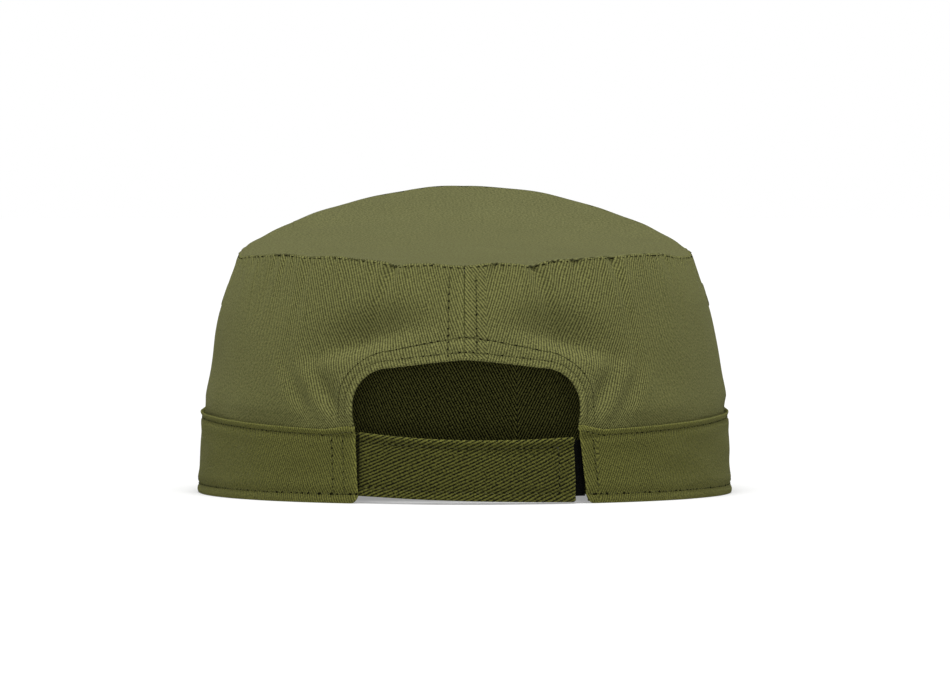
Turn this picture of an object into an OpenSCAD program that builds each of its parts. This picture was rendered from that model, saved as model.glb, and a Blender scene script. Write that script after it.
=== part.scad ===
// Military cap with a soft flat-topped crown, a turned band, a stiffened peak
// and a hook-and-loop closure strap across an arched opening at the back.
// Origin: centre of the head opening, on the plane that the rim stands on.
// +Z is up, the peak points to -Y and the closure faces +Y. +X is the wearer's left.
// Angles round the cap start at the centre back and grow towards the wearer's left:
// 0 is the back, 90 the left side, 180 the front and 270 the right side.

/* [Head size] */
// Outer width of the band at the rim
rim_w = 174.4; // [165:0.2:185]
// Outer length of the band at the rim, front to back
rim_l = 208; // [196:1:220]
// How much wider the back of the head is than the front, as a share
egg = 0.05; // [0:0.01:0.08]

/* [Crown] */
// Height of the top seam at the centre back
back_h = 74.6; // [70:0.2:80]
// Height of the top seam at the centre front
front_h = 99.4; // [94:0.2:105]
// How late the top seam climbs towards the front
seam_climb = 2.8; // [2:0.1:3.4]
// How much higher the top seam runs over the two back corners
seam_shoulder = 3.4; // [0:0.2:5]
// How far the wall leans in at the sides by the top seam
side_lean = 11.4; // [9:0.2:14]
// How far the wall leans in at the back by the top seam
back_lean = 13; // [9:0.5:16]
// How far the wall leans in at the front by the top seam
front_lean = 9; // [6:0.5:12]
// Angle from the centre front to each front seam
front_seam_angle = 52; // [45:1:58]

/* [Band and sweatband] */
// Height of the band at the front
band_front_h = 28.4; // [26:0.2:32]
// Height of the band at the closure
band_back_h = 22.4; // [21:0.2:26]
// How far the rim is splayed out below the top of the band
band_flare = 1.3; // [0.5:0.1:2]
// How high the rim arches above the peak
front_rise = 13; // [9:0.5:15]
// Height of the sweatband
sweat_h = 40; // [34:1:40]

/* [Rear opening] */
// Width of the arched opening
arch_w = 71.6; // [66:0.2:76]
// Height of the opening's highest point above the rim
arch_h = 45.4; // [42:0.2:50]
// Radius of the opening's upper corners
arch_corner_r = 12; // [8:0.5:16]
// How much higher the middle of the opening is than its shoulders
arch_gable = 2.6; // [2:0.2:6]

/* [Closure] */
// Height of the closure strap
strap_h = 19.4; // [17:0.2:21]
// Height of the loop tab under the strap
tab_h = 16.8; // [14:0.2:17]
// Length of loop tab that the strap hides
tab_overlap = 52; // [40:1:58]

/* [Peak] */
// Length of the peak at its middle
peak_len = 62; // [55:1:68]
// Angle from the centre front to each corner of the peak
peak_angle = 61; // [55:1:65]
// Squareness of the peak's outline, where 2 is an ellipse
peak_square = 2.3; // [2:0.1:2.6]
// Thickness of the plastic board in the peak
board_t = 1.8; // [1.4:0.1:2.2]

/* [Hidden] */

olive = "darkolivegreen";
lining = "olivedrab";
white_stiffener = "whitesmoke";
black_tape = "#16160f";

// Angle between the columns of a fabric shell
step = 5;

// Fabric layers, as depths below the band's outer face: [outer face, inner face]
band_layer = [0, 0.8];
band_core_layer = [0.9, 1.2];
wall_layer = [1.3, 2.0];
facing_layer = [2.2, 2.55];
core_layer = [2.6, 3.2];
tape_layer = [2.75, 3.05];
sweat_layer = [3.3, 4.3];
label_layer = [4.55, 4.85];

half_w = rim_w / 2 - band_flare;
half_l = rim_l / 2 - band_flare;
front_seam_t = 180 - front_seam_angle;
sweat_join_t = 193;

// The side panels' folded edge stands this far above the top panel
seam_ridge = 1;
top_t = 0.7;
top_core_t = 0.4;
top_dome = 2.5;
tape_w = 8;
seam_allowance = 3;
facing_w = 8.4;

// Closure: angles in degrees along the rim, the rest in millimetres
edge_gap = 1.6;
root_tuck = 9;
strap_rise = 1.4;
strap_t = 1.0;
tape_t = 0.9;
tape_clearance = 0.3;
tape_margin = 1.6;
tab_rise = strap_rise + (strap_h - tab_h) / 2;

// The peak's edge touches the table at this share of its half width
cover_t = 0.6;
layer_gap = 0.05;
peak_t = 2 * cover_t + board_t + 2 * layer_gap;
peak_tip_rise = 4;
peak_low_at = 0.75;

// Two stitched eyelets on each side, just ahead of and just above the ears
eyelet_z = 64.3;
eyelet_angles = [88, 105, -88, -105];
eyelet_hole_r = 2;
eyelet_barrel_r = 2.8;
eyelet_flange_r = 4.2;
eyelet_cut_r = eyelet_barrel_r + 0.1;

// How far a cutting shape reaches below the rim
below = 5;

// --- The cap's form -------------------------------------------------------

function clamp01(x) = max(0, min(1, x));

// Height of the rim above the table
function rim_z(t) = front_rise * pow(max(0, -cos(t)), 1.5);

// Height of the band's upper edge
function band_z(t) =
    rim_z(t) + band_front_h - (band_front_h - band_back_h) * pow((1 + cos(t)) / 2, 2);

// Height of the top seam
function shoulder(t) = cos(t) > 0 ? seam_shoulder * pow(sin(2 * t), 2) : 0;
function seam_z(t) =
    back_h + (front_h - back_h) * pow((1 - cos(t)) / 2, seam_climb) + shoulder(t);

// Share of the lean reached at a share of the wall's height
function lean_share(s) = 0.48 * s + 0.52 * pow(s, 3);
function lengthways_lean(t) = cos(t) > 0 ? back_lean : front_lean;

// A point of the cap's wall, at an angle, a height and a depth below the outer face
function wall(t, z, depth) =
    let (
        s = clamp01((z - band_z(t)) / (seam_z(t) - band_z(t))),
        splay = band_flare * clamp01((band_z(t) - z) / (band_z(t) - rim_z(t))),
        lean = lean_share(s),
        x = (half_w + splay - side_lean * lean - depth) * (1 + egg * cos(t)) * sin(t),
        y = (half_l + splay - lengthways_lean(t) * lean - depth) * cos(t)
    ) [x, y, z];

// Angle at which the band's outer face is a distance to the side of the centre back
function angle_at(x) =
    let (
        first = asin(x / (rim_w / 2 * (1 + egg))),
        second = asin(x / (rim_w / 2 * (1 + egg * cos(first))))
    ) asin(x / (rim_w / 2 * (1 + egg * cos(second))));

arch_t = angle_at(arch_w / 2);

// Columns every step degrees, with both ends kept
function columns(t0, t1) = [
    t0,
    for (t = [step * (floor(t0 / step) + 1) : step : t1 - 0.3]) if (t > t0 + 0.3) t,
    t1
];

// --- Solids from grids of points ------------------------------------------

// Two triangles for each square of a grid, in the order of its corners
function squares(a, b, c, d) = [[a, b, c], [a, c, d]];

// A closed solid between two grids of the same size
module between(outer, inner) {
    n = len(outer);
    m = len(outer[0]);
    all = n * m;
    points = concat([for (row = outer) each row], [for (row = inner) each row]);
    faces = [
        for (i = [0 : n - 2], j = [0 : m - 2])
            let (a = i * m + j, b = a + m, c = b + 1, d = a + 1)
                each concat(squares(a, b, c, d), squares(all + a, all + d, all + c, all + b)),
        for (i = [0 : n - 2])
            let (low = i * m, high = low + m - 1)
                each concat(
                    squares(low, all + low, all + low + m, low + m),
                    squares(high, high + m, all + high + m, all + high)
                ),
        for (j = [0 : m - 2])
            let (last = (n - 1) * m + j)
                each concat(
                    squares(j, j + 1, all + j + 1, all + j),
                    squares(last, all + last, all + last + 1, last + 1)
                )
    ];
    polyhedron(points = points, faces = faces);
}

// A layer of fabric on the wall, between two angles and two heights that depend on the angle
module wall_shell(t0, t1, low, high, layer, rows = 1) {
    grid = function (depth) [
        for (t = columns(t0, t1)) [
            for (j = [0 : rows]) wall(t, low(t) + (high(t) - low(t)) * j / rows, depth)
        ]
    ];
    between(grid(layer[0]), grid(layer[1]));
}

// --- Rear opening ----------------------------------------------------------

// Outline of the opening, grown outwards by a margin
module arch_outline(margin) {
    half = arch_w / 2 + margin;
    shoulder = arch_h + margin - arch_gable;
    r = arch_corner_r + margin;
    translate([-half, -below]) square([2 * half, shoulder - r + below]);
    translate([-half + r, -below]) square([2 * (half - r), shoulder + below]);
    for (side = [-1, 1]) translate([side * (half - r), shoulder - r]) circle(r = r, $fn = 48);
    polygon([[-half + r, shoulder], [half - r, shoulder], [0, arch_h + margin]]);
}

// The space of the opening, through the back wall only
module arch_space(margin = 0) {
    rotate([90, 0, 180]) linear_extrude(rim_l) arch_outline(margin);
}

// --- Crown -----------------------------------------------------------------

wall_low = function (t) rim_z(t) + 0.4;
wall_high = function (t) seam_z(t);

// Sets its children on the wall at an angle and height, with +Z along the outward normal
module on_wall(t, z, depth) {
    along = wall(t + 1, z, depth) - wall(t - 1, z, depth);
    up = wall(t, z + 1, depth) - wall(t, z - 1, depth);
    normal = cross(up, along);
    tilt = acos(normal.z / norm(normal));
    translate(wall(t, z, depth)) rotate([0, tilt, atan2(normal.y, normal.x)]) children();
}

module eyelet_holes() {
    for (t = eyelet_angles)
        on_wall(t, eyelet_z, wall_layer[0])
            cylinder(h = 8, r = eyelet_cut_r, center = true, $fn = 48);
}

module side_panel_left() {
    color(olive) difference() {
        wall_shell(0.05, front_seam_t - 0.1, wall_low, wall_high, wall_layer, 10);
        arch_space();
        eyelet_holes();
    }
}

module side_panel_right() {
    color(olive) difference() {
        wall_shell(-front_seam_t + 0.1, -0.05, wall_low, wall_high, wall_layer, 10);
        arch_space();
        eyelet_holes();
    }
}

module front_panel() {
    color(olive) wall_shell(front_seam_t, 360 - front_seam_t, wall_low, wall_high, wall_layer, 10);
}

module front_buckram() {
    color(white_stiffener) wall_shell(
        front_seam_t + 1, 359 - front_seam_t,
        function (t) rim_z(t) + 2, function (t) seam_z(t) - seam_allowance, facing_layer, 10
    );
}

// Height of the top panel's upper face over a point of the plan
function top_z(x_share, y) =
    let (reach = half_l - (y > 0 ? back_lean : front_lean) - wall_layer[1])
        back_h - seam_ridge
            + (front_h - back_h) * pow(clamp01((1 - y / reach) / 2), seam_climb)
            + top_dome * (1 - x_share * x_share);

// A flat layer of the top panel, with its upper face a drop below the panel's own
module top_layer(drop, thickness, inset) {
    rings = [0.02, 0.3, 0.5, 0.65, 0.8, 0.9, 1];
    turn = columns(0, 360);
    n = len(turn) - 1;
    point = function (r, t, down)
        let (edge = wall(t, seam_z(t), wall_layer[1] + 0.1 + inset))
            [r * edge.x, r * edge.y, top_z(r, r * edge.y) + shoulder(t) * pow(r, 3) - down];
    face = function (down) [for (r = rings) each [for (i = [0 : n - 1]) point(r, turn[i], down)]];
    points = concat(face(drop), face(drop + thickness));
    all = len(rings) * n;
    last = (len(rings) - 1) * n;
    faces = [
        for (k = [0 : len(rings) - 2], i = [0 : n - 1])
            let (a = k * n + i, b = k * n + (i + 1) % n, c = b + n, d = a + n)
                each concat(squares(a, d, c, b), squares(all + a, all + b, all + c, all + d)),
        for (i = [0 : n - 1])
            let (a = last + i, b = last + (i + 1) % n)
                each squares(a, all + a, all + b, b),
        [for (i = [0 : n - 1]) i],
        [for (i = [n - 1 : -1 : 0]) all + i]
    ];
    polyhedron(points = points, faces = faces);
}

module top_panel() {
    color(olive) top_layer(0, top_t, 0);
}

module top_interlining() {
    color(white_stiffener) top_layer(top_t + 0.1, top_core_t, 2);
}

module ventilation_eyelets() {
    color(olive) for (t = eyelet_angles)
        on_wall(t, eyelet_z, wall_layer[0]) difference() {
            union() {
                translate([0, 0, 0.1]) cylinder(h = 0.6, r = eyelet_flange_r, $fn = 48);
                translate([0, 0, -1.3]) cylinder(h = 1.5, r = eyelet_barrel_r, $fn = 48);
            }
            translate([0, 0, -3]) cylinder(h = 6, r = eyelet_hole_r, $fn = 48);
        }
}

// --- Seam tapes and facings inside the crown --------------------------------

module top_seam_tape() {
    color(lining) wall_shell(
        0.5, 359.5, function (t) seam_z(t) - tape_w - seam_allowance, function (t) seam_z(t) - seam_allowance,
        tape_layer, 3
    );
}

module back_seam_tape() {
    half_angle = 4.4;
    color(lining) wall_shell(
        -half_angle, half_angle, function (t) arch_h + facing_w + 1, function (t) seam_z(t) - 2.6,
        facing_layer, 4
    );
}

module front_seam_tape(t) {
    half_angle = 3.8;
    color(lining) wall_shell(
        t - half_angle, t + half_angle, function (t) rim_z(t) + sweat_h + 1,
        function (t) seam_z(t) - tape_w - seam_allowance - 0.5, tape_layer, 4
    );
}

module front_seam_tape_left() {
    front_seam_tape(front_seam_t);
}

module front_seam_tape_right() {
    front_seam_tape(360 - front_seam_t);
}

module arch_facing() {
    reach = arch_t + 9;
    color(olive) difference() {
        intersection() {
            wall_shell(-reach, reach, function (t) 0.5, function (t) arch_h + 12, facing_layer, 8);
            arch_space(facing_w);
        }
        arch_space();
    }
}

// --- Band and sweatband -----------------------------------------------------

module outer_band() {
    color(olive) wall_shell(
        arch_t, 360 - arch_t, function (t) rim_z(t), function (t) band_z(t), band_layer, 2
    );
}

module band_interlining() {
    color(white_stiffener) wall_shell(
        arch_t + 1, 359 - arch_t, function (t) rim_z(t) + 1.2, function (t) band_z(t) - 1.2,
        band_core_layer, 2
    );
}

module sweatband(t0, t1) {
    color(olive) wall_shell(
        t0, t1, function (t) rim_z(t) + 0.6,
        function (t) rim_z(t) + sweat_h * (1 - 0.3 * pow(clamp01(cos(t)), 6)), sweat_layer, 4
    );
}

module sweatband_left() {
    sweatband(arch_t + edge_gap, sweat_join_t - 0.1);
}

module sweatband_right() {
    sweatband(sweat_join_t + 0.1, 360 - arch_t - edge_gap);
}

module sweatband_padding() {
    color(white_stiffener) wall_shell(
        180 - front_seam_angle + 5, 175 + front_seam_angle, function (t) rim_z(t) + 3,
        function (t) rim_z(t) + sweat_h - 4, tape_layer, 3
    );
}

module care_label() {
    color("white") wall_shell(
        62, 76, function (t) rim_z(t) + 9, function (t) rim_z(t) + 27, label_layer, 2
    );
}

// --- Closure ----------------------------------------------------------------

strap_t0 = arch_t - 0.8;
strap_t1 = -arch_t + 1.4;
tab_t0 = -arch_t + 0.8;
tab_t1 = angle_at(tab_overlap - arch_w / 2);
strap_end_depth = -0.2;
hook_depth = strap_end_depth + strap_t + layer_gap;
loop_depth = hook_depth + tape_t + tape_clearance;
tab_depth = loop_depth + tape_t + layer_gap;
hook_t0 = tab_t1 - 5;

// Depth of the strap's outer face, which rises over the loop tab
function strap_depth(t) =
    let (share = clamp01((strap_t0 - t) / (strap_t0 - hook_t0)))
        core_layer[0] + (strap_end_depth - core_layer[0]) * share * share * (3 - 2 * share);

// A strip of the closure between two angles, at a depth that depends on the angle
module closure_strip(t0, t1, z0, z1, depth, thickness) {
    grid = function (inward) [
        for (t = columns(t0, t1)) [for (z = [z0, z1]) wall(t, z, depth(t) + inward)]
    ];
    between(grid(0), grid(thickness));
}

module strap_root() {
    color(olive) wall_shell(
        arch_t + 0.5, arch_t + root_tuck, function (t) strap_rise,
        function (t) strap_rise + strap_h, core_layer
    );
}

module closure_strap() {
    color(olive) closure_strip(
        strap_t1, strap_t0, strap_rise, strap_rise + strap_h, function (t) strap_depth(t), strap_t
    );
}

module hook_tape() {
    color(black_tape) closure_strip(
        strap_t1 + 1, hook_t0, strap_rise + tape_margin, strap_rise + strap_h - tape_margin,
        function (t) strap_depth(t) + strap_t + layer_gap, tape_t
    );
}

module tab_root() {
    color(olive) wall_shell(
        -arch_t - root_tuck, -arch_t - 0.5, function (t) tab_rise,
        function (t) tab_rise + tab_h, core_layer
    );
}

module loop_tab() {
    color(olive) closure_strip(
        tab_t0, tab_t1, tab_rise, tab_rise + tab_h, function (t) tab_depth, strap_t
    );
}

module loop_tape() {
    color(black_tape) closure_strip(
        tab_t0, tab_t1 - 1, tab_rise + 0.6, tab_rise + tab_h - 0.6, function (t) loop_depth, tape_t
    );
}

// --- Peak -------------------------------------------------------------------

// Where the peak's upper face leaves the band, from -1 at its right corner to 1 at its left
function peak_root(u) =
    let (t = 180 - u * peak_angle, p = wall(t, rim_z(t), wall_layer[1] + 0.2))
        [p.x, p.y, rim_z(t) - 0.15];

// The peak's outer edge, which touches the table either side of its middle
function peak_edge(u) =
    let (
        corner = peak_root(1),
        side = abs(u),
        x = corner.x * sign(u) * pow(sin(90 * side), 2 / peak_square),
        y = corner.y - (half_l + peak_len + corner.y) * pow(cos(90 * side), 2 / peak_square),
        lift = side < peak_low_at
            ? peak_tip_rise * pow(1 - pow(side / peak_low_at, 2), 2)
            : (corner.z - peak_t) * pow((side - peak_low_at) / (1 - peak_low_at), 2)
    ) [x, y, peak_t + lift];

// One layer of the peak, below its upper face and short of its edge
module peak_layer(drop, thickness, inset = 0) {
    across = 32;
    forward = 5;
    share = 0.985 - inset;
    grid = function (down) [
        for (i = [0 : across])
            let (u = share * (2 * i / across - 1), a = peak_root(u), b = peak_edge(u))
                [for (j = [0 : forward]) a + (b - a) * share * j / forward - [0, 0, down]]
    ];
    between(grid(drop), grid(drop + thickness));
}

module peak_upper_cover() {
    color(olive) peak_layer(0, cover_t);
}

module peak_board() {
    color(white_stiffener) peak_layer(cover_t + layer_gap, board_t, 0.03);
}

module peak_under_cover() {
    color(olive) peak_layer(cover_t + board_t + 2 * layer_gap, cover_t);
}

// --- Assembly ---------------------------------------------------------------

top_panel();
top_interlining();
side_panel_left();
side_panel_right();
front_panel();
front_buckram();
outer_band();
band_interlining();
sweatband_left();
sweatband_right();
sweatband_padding();
arch_facing();
back_seam_tape();
top_seam_tape();
front_seam_tape_left();
front_seam_tape_right();
strap_root();
closure_strap();
hook_tape();
tab_root();
loop_tab();
loop_tape();
peak_upper_cover();
peak_board();
peak_under_cover();
ventilation_eyelets();
care_label();
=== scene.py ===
"""Looks for the military cap: every cloth piece, its stitching, its materials, the camera and the light.

Lengths in this script are millimetres and angles are degrees until a mesh is made, which puts them in metres.
Angles round the cap start at the centre back and grow towards the wearer's left, as in the CAD model.
"""
import math
import random

import bmesh
import bpy
import numpy as np
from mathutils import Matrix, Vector
from mathutils.geometry import delaunay_2d_cdt


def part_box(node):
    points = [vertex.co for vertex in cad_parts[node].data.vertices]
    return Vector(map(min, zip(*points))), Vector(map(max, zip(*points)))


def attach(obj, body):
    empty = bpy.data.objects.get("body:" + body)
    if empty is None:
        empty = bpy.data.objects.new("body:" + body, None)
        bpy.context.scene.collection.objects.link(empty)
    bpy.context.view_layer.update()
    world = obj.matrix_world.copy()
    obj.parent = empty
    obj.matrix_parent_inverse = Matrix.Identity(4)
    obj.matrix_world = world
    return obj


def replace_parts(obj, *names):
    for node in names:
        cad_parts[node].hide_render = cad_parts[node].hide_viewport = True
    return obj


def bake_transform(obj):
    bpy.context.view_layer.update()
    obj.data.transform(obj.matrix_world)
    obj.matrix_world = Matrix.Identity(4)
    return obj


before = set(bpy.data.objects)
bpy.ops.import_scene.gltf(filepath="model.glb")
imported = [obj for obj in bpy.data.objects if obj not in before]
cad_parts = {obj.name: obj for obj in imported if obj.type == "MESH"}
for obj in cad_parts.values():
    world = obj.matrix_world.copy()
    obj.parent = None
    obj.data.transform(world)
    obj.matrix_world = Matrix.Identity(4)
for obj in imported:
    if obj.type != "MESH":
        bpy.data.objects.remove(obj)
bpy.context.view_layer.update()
MM = 0.001


def node_box(node):
    """Lowest and highest corner of a CAD node in millimetres."""
    low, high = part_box(node)
    return low / MM, high / MM


# --- Sizes, which follow the CAD model ---------------------------------------

EGG = 0.05
FLARE = 1.3
FRONT_RISE = 13
BAND_FRONT, BAND_BACK = 28.4, 22.4
SEAM_CLIMB = 2.8
SEAM_SHOULDER = 3.4
SIDE_LEAN, BACK_LEAN, FRONT_LEAN = 11.4, 13, 9
FRONT_SEAM = 128
SWEAT_H = 40
SWEAT_JOIN = 193
ARCH_R, ARCH_GABLE = 12, 2.6

WIDEST = max((1 + EGG * math.cos(a / 100)) * math.sin(a / 100) for a in range(314))
HALF_W = node_box("outer_band")[1].x / WIDEST - FLARE
HALF_L = -node_box("outer_band")[0].y - FLARE
FRONT_H = node_box("front_panel")[1].z
BACK_H = node_box("back_seam_tape")[1].z + 2.6
ARCH_HALF = 35.7
ARCH_SHIFT = -0.6
ARCH_H = node_box("back_seam_tape")[0].z - 9.4

# Cloth layers, as depths below the band's outer face
BAND = (0.5, 1.2)
CROWN = (1.3, 2.0)
FACING = (2.2, 2.55)
TAPE = (2.75, 3.05)
SWEATBAND = (3.3, 4.3)
LABEL = (4.55, 4.85)


# --- The cap's form ------------------------------------------------------------

def together(*values):
    """Values as arrays of one common shape."""
    return np.broadcast_arrays(*(np.asarray(v, float) for v in values))

def walked(path):
    """Distances along a path of points."""
    return np.concatenate([[0], np.cumsum(np.linalg.norm(np.diff(path, axis=0), axis=1))])

def cosine(t):
    return np.cos(np.radians(t))


def rim_z(t):
    return FRONT_RISE * np.maximum(0, -cosine(t)) ** 1.5


def band_z(t):
    return rim_z(t) + BAND_FRONT - (BAND_FRONT - BAND_BACK) * ((1 + cosine(t)) / 2) ** 2


def seam_shoulder(t):
    """How much higher the top seam runs over the two back corners."""
    return SEAM_SHOULDER * np.where(cosine(t) > 0, np.sin(np.radians(2 * np.asarray(t, float))) ** 2, 0)


def plain_seam_z(t):
    return BACK_H + (FRONT_H - BACK_H) * ((1 - cosine(t)) / 2) ** SEAM_CLIMB + seam_shoulder(t)


def wall(t, z, depth):
    """Points of the cap's wall, at angles, heights and depths below the band's outer face."""
    t, z, depth = together(t, z, depth)
    c, s = cosine(t), np.sin(np.radians(t))
    share = np.clip((z - band_z(t)) / (plain_seam_z(t) - band_z(t)), 0, 1)
    splay = FLARE * np.clip((band_z(t) - z) / (band_z(t) - rim_z(t)), 0, 1)
    lean = 0.48 * share + 0.52 * share**3
    lengthways = np.where(c > 0, BACK_LEAN, FRONT_LEAN)
    x = (HALF_W + splay - SIDE_LEAN * lean - depth) * (1 + EGG * c) * s
    y = (HALF_L + splay - lengthways * lean - depth) * c
    return np.stack([x, y, z], -1)


# Distance along the wall from the centre back, positive to the wearer's left
TURN = np.linspace(-200, 400, 2401)
WALK = walked(wall(TURN, 40, CROWN[0]))
WALK -= np.interp(0, TURN, WALK)
ROUND = np.interp(360, TURN, WALK)


def along(t):
    return np.interp(t, TURN, WALK)


def angle_along(s):
    return np.interp(s, WALK, TURN)


def angle_at(x, z, depth=CROWN[0]):
    """Angle near the back at which the wall is a distance x to the side."""
    x, z = together(x, z)
    t = np.degrees(np.arcsin(x / HALF_W))
    for _ in range(5):
        reach = wall(t, z, depth)[..., 0] / np.where(abs(t) < 1e-6, 1, np.sin(np.radians(t)))
        t = np.where(abs(t) < 1e-6, t, np.degrees(np.arcsin(np.clip(x / reach, -1, 1))))
    return t


LATTICE = np.random.default_rng(7).uniform(-1, 1, (32, 32, 32))


def soft_noise(points, scale, seed):
    """Smooth noise from -1 to 1 at points in millimetres, with features of about that scale."""
    p = np.asarray(points, float) / scale + 7.31 * seed
    cell = np.floor(p).astype(int)
    part = p - cell
    part = part * part * part * (part * (part * 6 - 15) + 10)
    total = 0
    for corner in np.ndindex(2, 2, 2):
        i, j, k = ((cell[..., n] + corner[n]) % 32 for n in range(3))
        weight = np.prod([part[..., n] if corner[n] else 1 - part[..., n] for n in range(3)], axis=0)
        total = total + weight * LATTICE[i, j, k]
    return 1.4 * total


def unit(v):
    return v / np.linalg.norm(v, axis=-1, keepdims=True)


def bump(x, width):
    return np.exp(-((x / width) ** 2))


# --- Creases and folds -----------------------------------------------------------

def make_creases(first, last, seed, gap=(5, 12), depth=(0.2, 0.6)):
    """Short creases that hang from a seam: (place, depth, width, length, slant)."""
    rng = random.Random(seed)
    creases, s = [], first
    while s < last:
        size = rng.uniform(*depth), rng.uniform(1.0, 2.4), rng.uniform(4, 12)
        creases.append((s, *size, rng.uniform(-0.25, 0.25)))
        s += rng.uniform(*gap)
    return creases


CROWN_CREASES = make_creases(-ROUND / 2, ROUND / 2, 11)
CROWN_CREASES += [
    (25.5, 1.7, 2.0, 12, 0.3), (-24.5, 1.7, 2.0, 12, -0.3),
    (61, 1.0, 1.8, 15, 0.1), (-58, 1.0, 1.8, 15, -0.1),
    (12, 0.9, 1.6, 8, -0.1), (-11, 0.9, 1.6, 8, 0.1),
    (40, 0.7, 2.4, 12, 0.15), (-42, 0.7, 2.4, 12, -0.15),
]


def centred(s):
    """Distance along the wall brought into the range either side of the centre back."""
    return np.where(s > ROUND / 2, s - ROUND, s)

def seam_z(t):
    """Height of the top seam, which dips where the cloth was eased into it."""
    s = centred(along(t))
    dip = 0.9 * bump(abs(s) - 24.5, 4) + 0.5 * bump(abs(s) - 61, 7) - 0.7 * bump(abs(s) - 11, 6)
    return plain_seam_z(t) - dip - 0.22 * np.sin(s / 6.1) * np.sin(s / 17 + 1)



def arch_z(x):
    """Height of the rear opening's edge at a distance from its own middle."""
    x = np.minimum(abs(np.asarray(x, float)), ARCH_HALF)
    middle, shoulder = ARCH_HALF - ARCH_R, ARCH_H - ARCH_GABLE
    corner = shoulder - ARCH_R + np.sqrt(np.maximum(0, ARCH_R**2 - np.maximum(0, x - middle) ** 2))
    return np.where(x < middle, ARCH_H - ARCH_GABLE * (x / middle) ** 1.25, corner)


def arch_edge(side, offset=0):
    """Points (x, z) of one half of the opening's edge, from its middle down, grown outwards by an offset."""
    middle, shoulder = ARCH_HALF - ARCH_R, ARCH_H - ARCH_GABLE
    flat = [(x, float(arch_z(x)) + offset) for x in np.linspace(0, middle, 28)[:-1]]
    turn = [
        (middle + (ARCH_R + offset) * math.sin(a), shoulder - ARCH_R + (ARCH_R + offset) * math.cos(a))
        for a in np.radians(np.linspace(0, 90, 26))
    ]
    down = [(ARCH_HALF + offset, z) for z in np.linspace(shoulder - ARCH_R, 12, 20)[1:]]
    return np.array(flat + turn + down) * [side, 1] + [ARCH_SHIFT, 0]


def arch_gap(x, z):
    """Distance of points on the wall from the opening's edge, seen square to the back."""
    shoulder = ARCH_H - ARCH_GABLE - ARCH_R
    x = abs(x - ARCH_SHIFT)
    middle = ARCH_HALF - ARCH_R
    round_corner = np.hypot(x - middle, z - shoulder) - ARCH_R
    return np.where(z < shoulder, x - ARCH_HALF, np.where(x < middle, z - arch_z(x), round_corner))


def crown_relief(t, z):
    """How far the crown's cloth stands out from its plain form."""
    t, z = together(t, z)
    s = centred(along(t))
    drop = seam_z(t) - z
    place = wall(t, z, CROWN[0])
    out = 0.55 * soft_noise(place, 34, 3) + 0.22 * soft_noise(place, 13, 9)
    for at, depth, width, length, slant in CROWN_CREASES:
        across = s - at - slant * drop
        out = out - depth * (bump(across, width) - 0.55 * bump(abs(across) - 2 * width, width)) * np.exp(
            -np.maximum(drop, 0) / length
        )
    # Either side of the opening the crown sinks between the facing and the top seam
    for side in (-1, 1):
        u = s * side - 35
        v = z - 51 + 0.24 * u
        out = out - 4.9 * np.exp(-((u / 16) ** 2) - (v / np.where(v > 0, 8.5, 3.6)) ** 2)
        out = out + 1.1 * np.exp(-(((u + 18) / 9) ** 2) - ((z - 63) / 8) ** 2)
        for shift, height, width in ((0, -1.6, 2.9), (6, 0.8, 2.8), (11, -0.8, 2.8), (17, 0.8, 4.5)):
            u, v = s * side - 45.5 - shift, z - 34
            ahead, across = (u * 0.6 + v * 0.8) / 11, (u * 0.8 - v * 0.6) / width
            out = out + height * np.exp(-(ahead**2) - across**2)
    # The facing holds the edge of the opening out
    gap = arch_gap(place[..., 0], z)
    near_back = abs(s) < 60
    held = 1.5 * bump(gap - 1, 4.8) - 0.35 * bump(gap - 2.4, 0.6) - 0.3 * bump(gap - 6.6, 0.7)
    out = out + np.where(near_back, held, 0)
    # The centre-back seam, with its allowances pressed to either side
    seam = np.where(abs(s) < 20, 1, 0) * np.clip(gap / 2, 0, 1)
    out = out + seam * (0.3 * bump(abs(s) - 2.4, 2.2) - 0.55 * bump(s, 0.55))
    for at in (along(FRONT_SEAM), -along(FRONT_SEAM)):
        out = out + 0.25 * bump(abs(s - at) - 2.0, 1.5) - 0.5 * bump(s - at, 0.5)
    # Rope-like pull along the top seam's stitches
    out = out + 0.16 * bump(drop - 1.6, 1.8) * np.sin(2 * math.pi * (s + 0.5 * drop) / 3.0)
    # Cloth blouses a little over the band, which then holds it flat
    out = out + 0.5 * bump(z - band_z(t) - 5, 6)
    return np.where(out > 0, out * np.clip((z - band_z(t) - 0.8) / 4, 0, 1), out)


def band_relief(t, z):
    """How far the band's cloth stands out from its plain form."""
    t, z = together(t, z)
    s = along(t)
    place = wall(t, z, 0)
    drop, rise = band_z(t) - z, z - rim_z(t)
    out = 0.3 * soft_noise(place, 40, 5) + 0.16 * soft_noise(place * [1, 1, 2.5], 15, 8)
    out = out + 0.42 * bump(drop, 1.0) - 0.42 * bump(drop - 1.9, 0.7) + 0.22 * bump(drop - 4.2, 1.6)
    out = out + 0.3 * bump(rise - 1.2, 1.3) - 0.42 * bump(rise - 3.0, 0.75) + 0.18 * bump(rise - 5.5, 1.8)
    pull = np.sin(2 * math.pi * (s + 0.8 * z) / 3.0 + 2 * soft_noise(place, 9, 2))
    return out + 0.13 * pull * (bump(drop - 2.6, 1.7) + bump(rise - 4.0, 1.9))


# --- Mesh builders ---------------------------------------------------------------

def link(name, mesh):
    piece = bpy.data.objects.new(name, mesh)
    bpy.context.scene.collection.objects.link(piece)
    return piece


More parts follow.
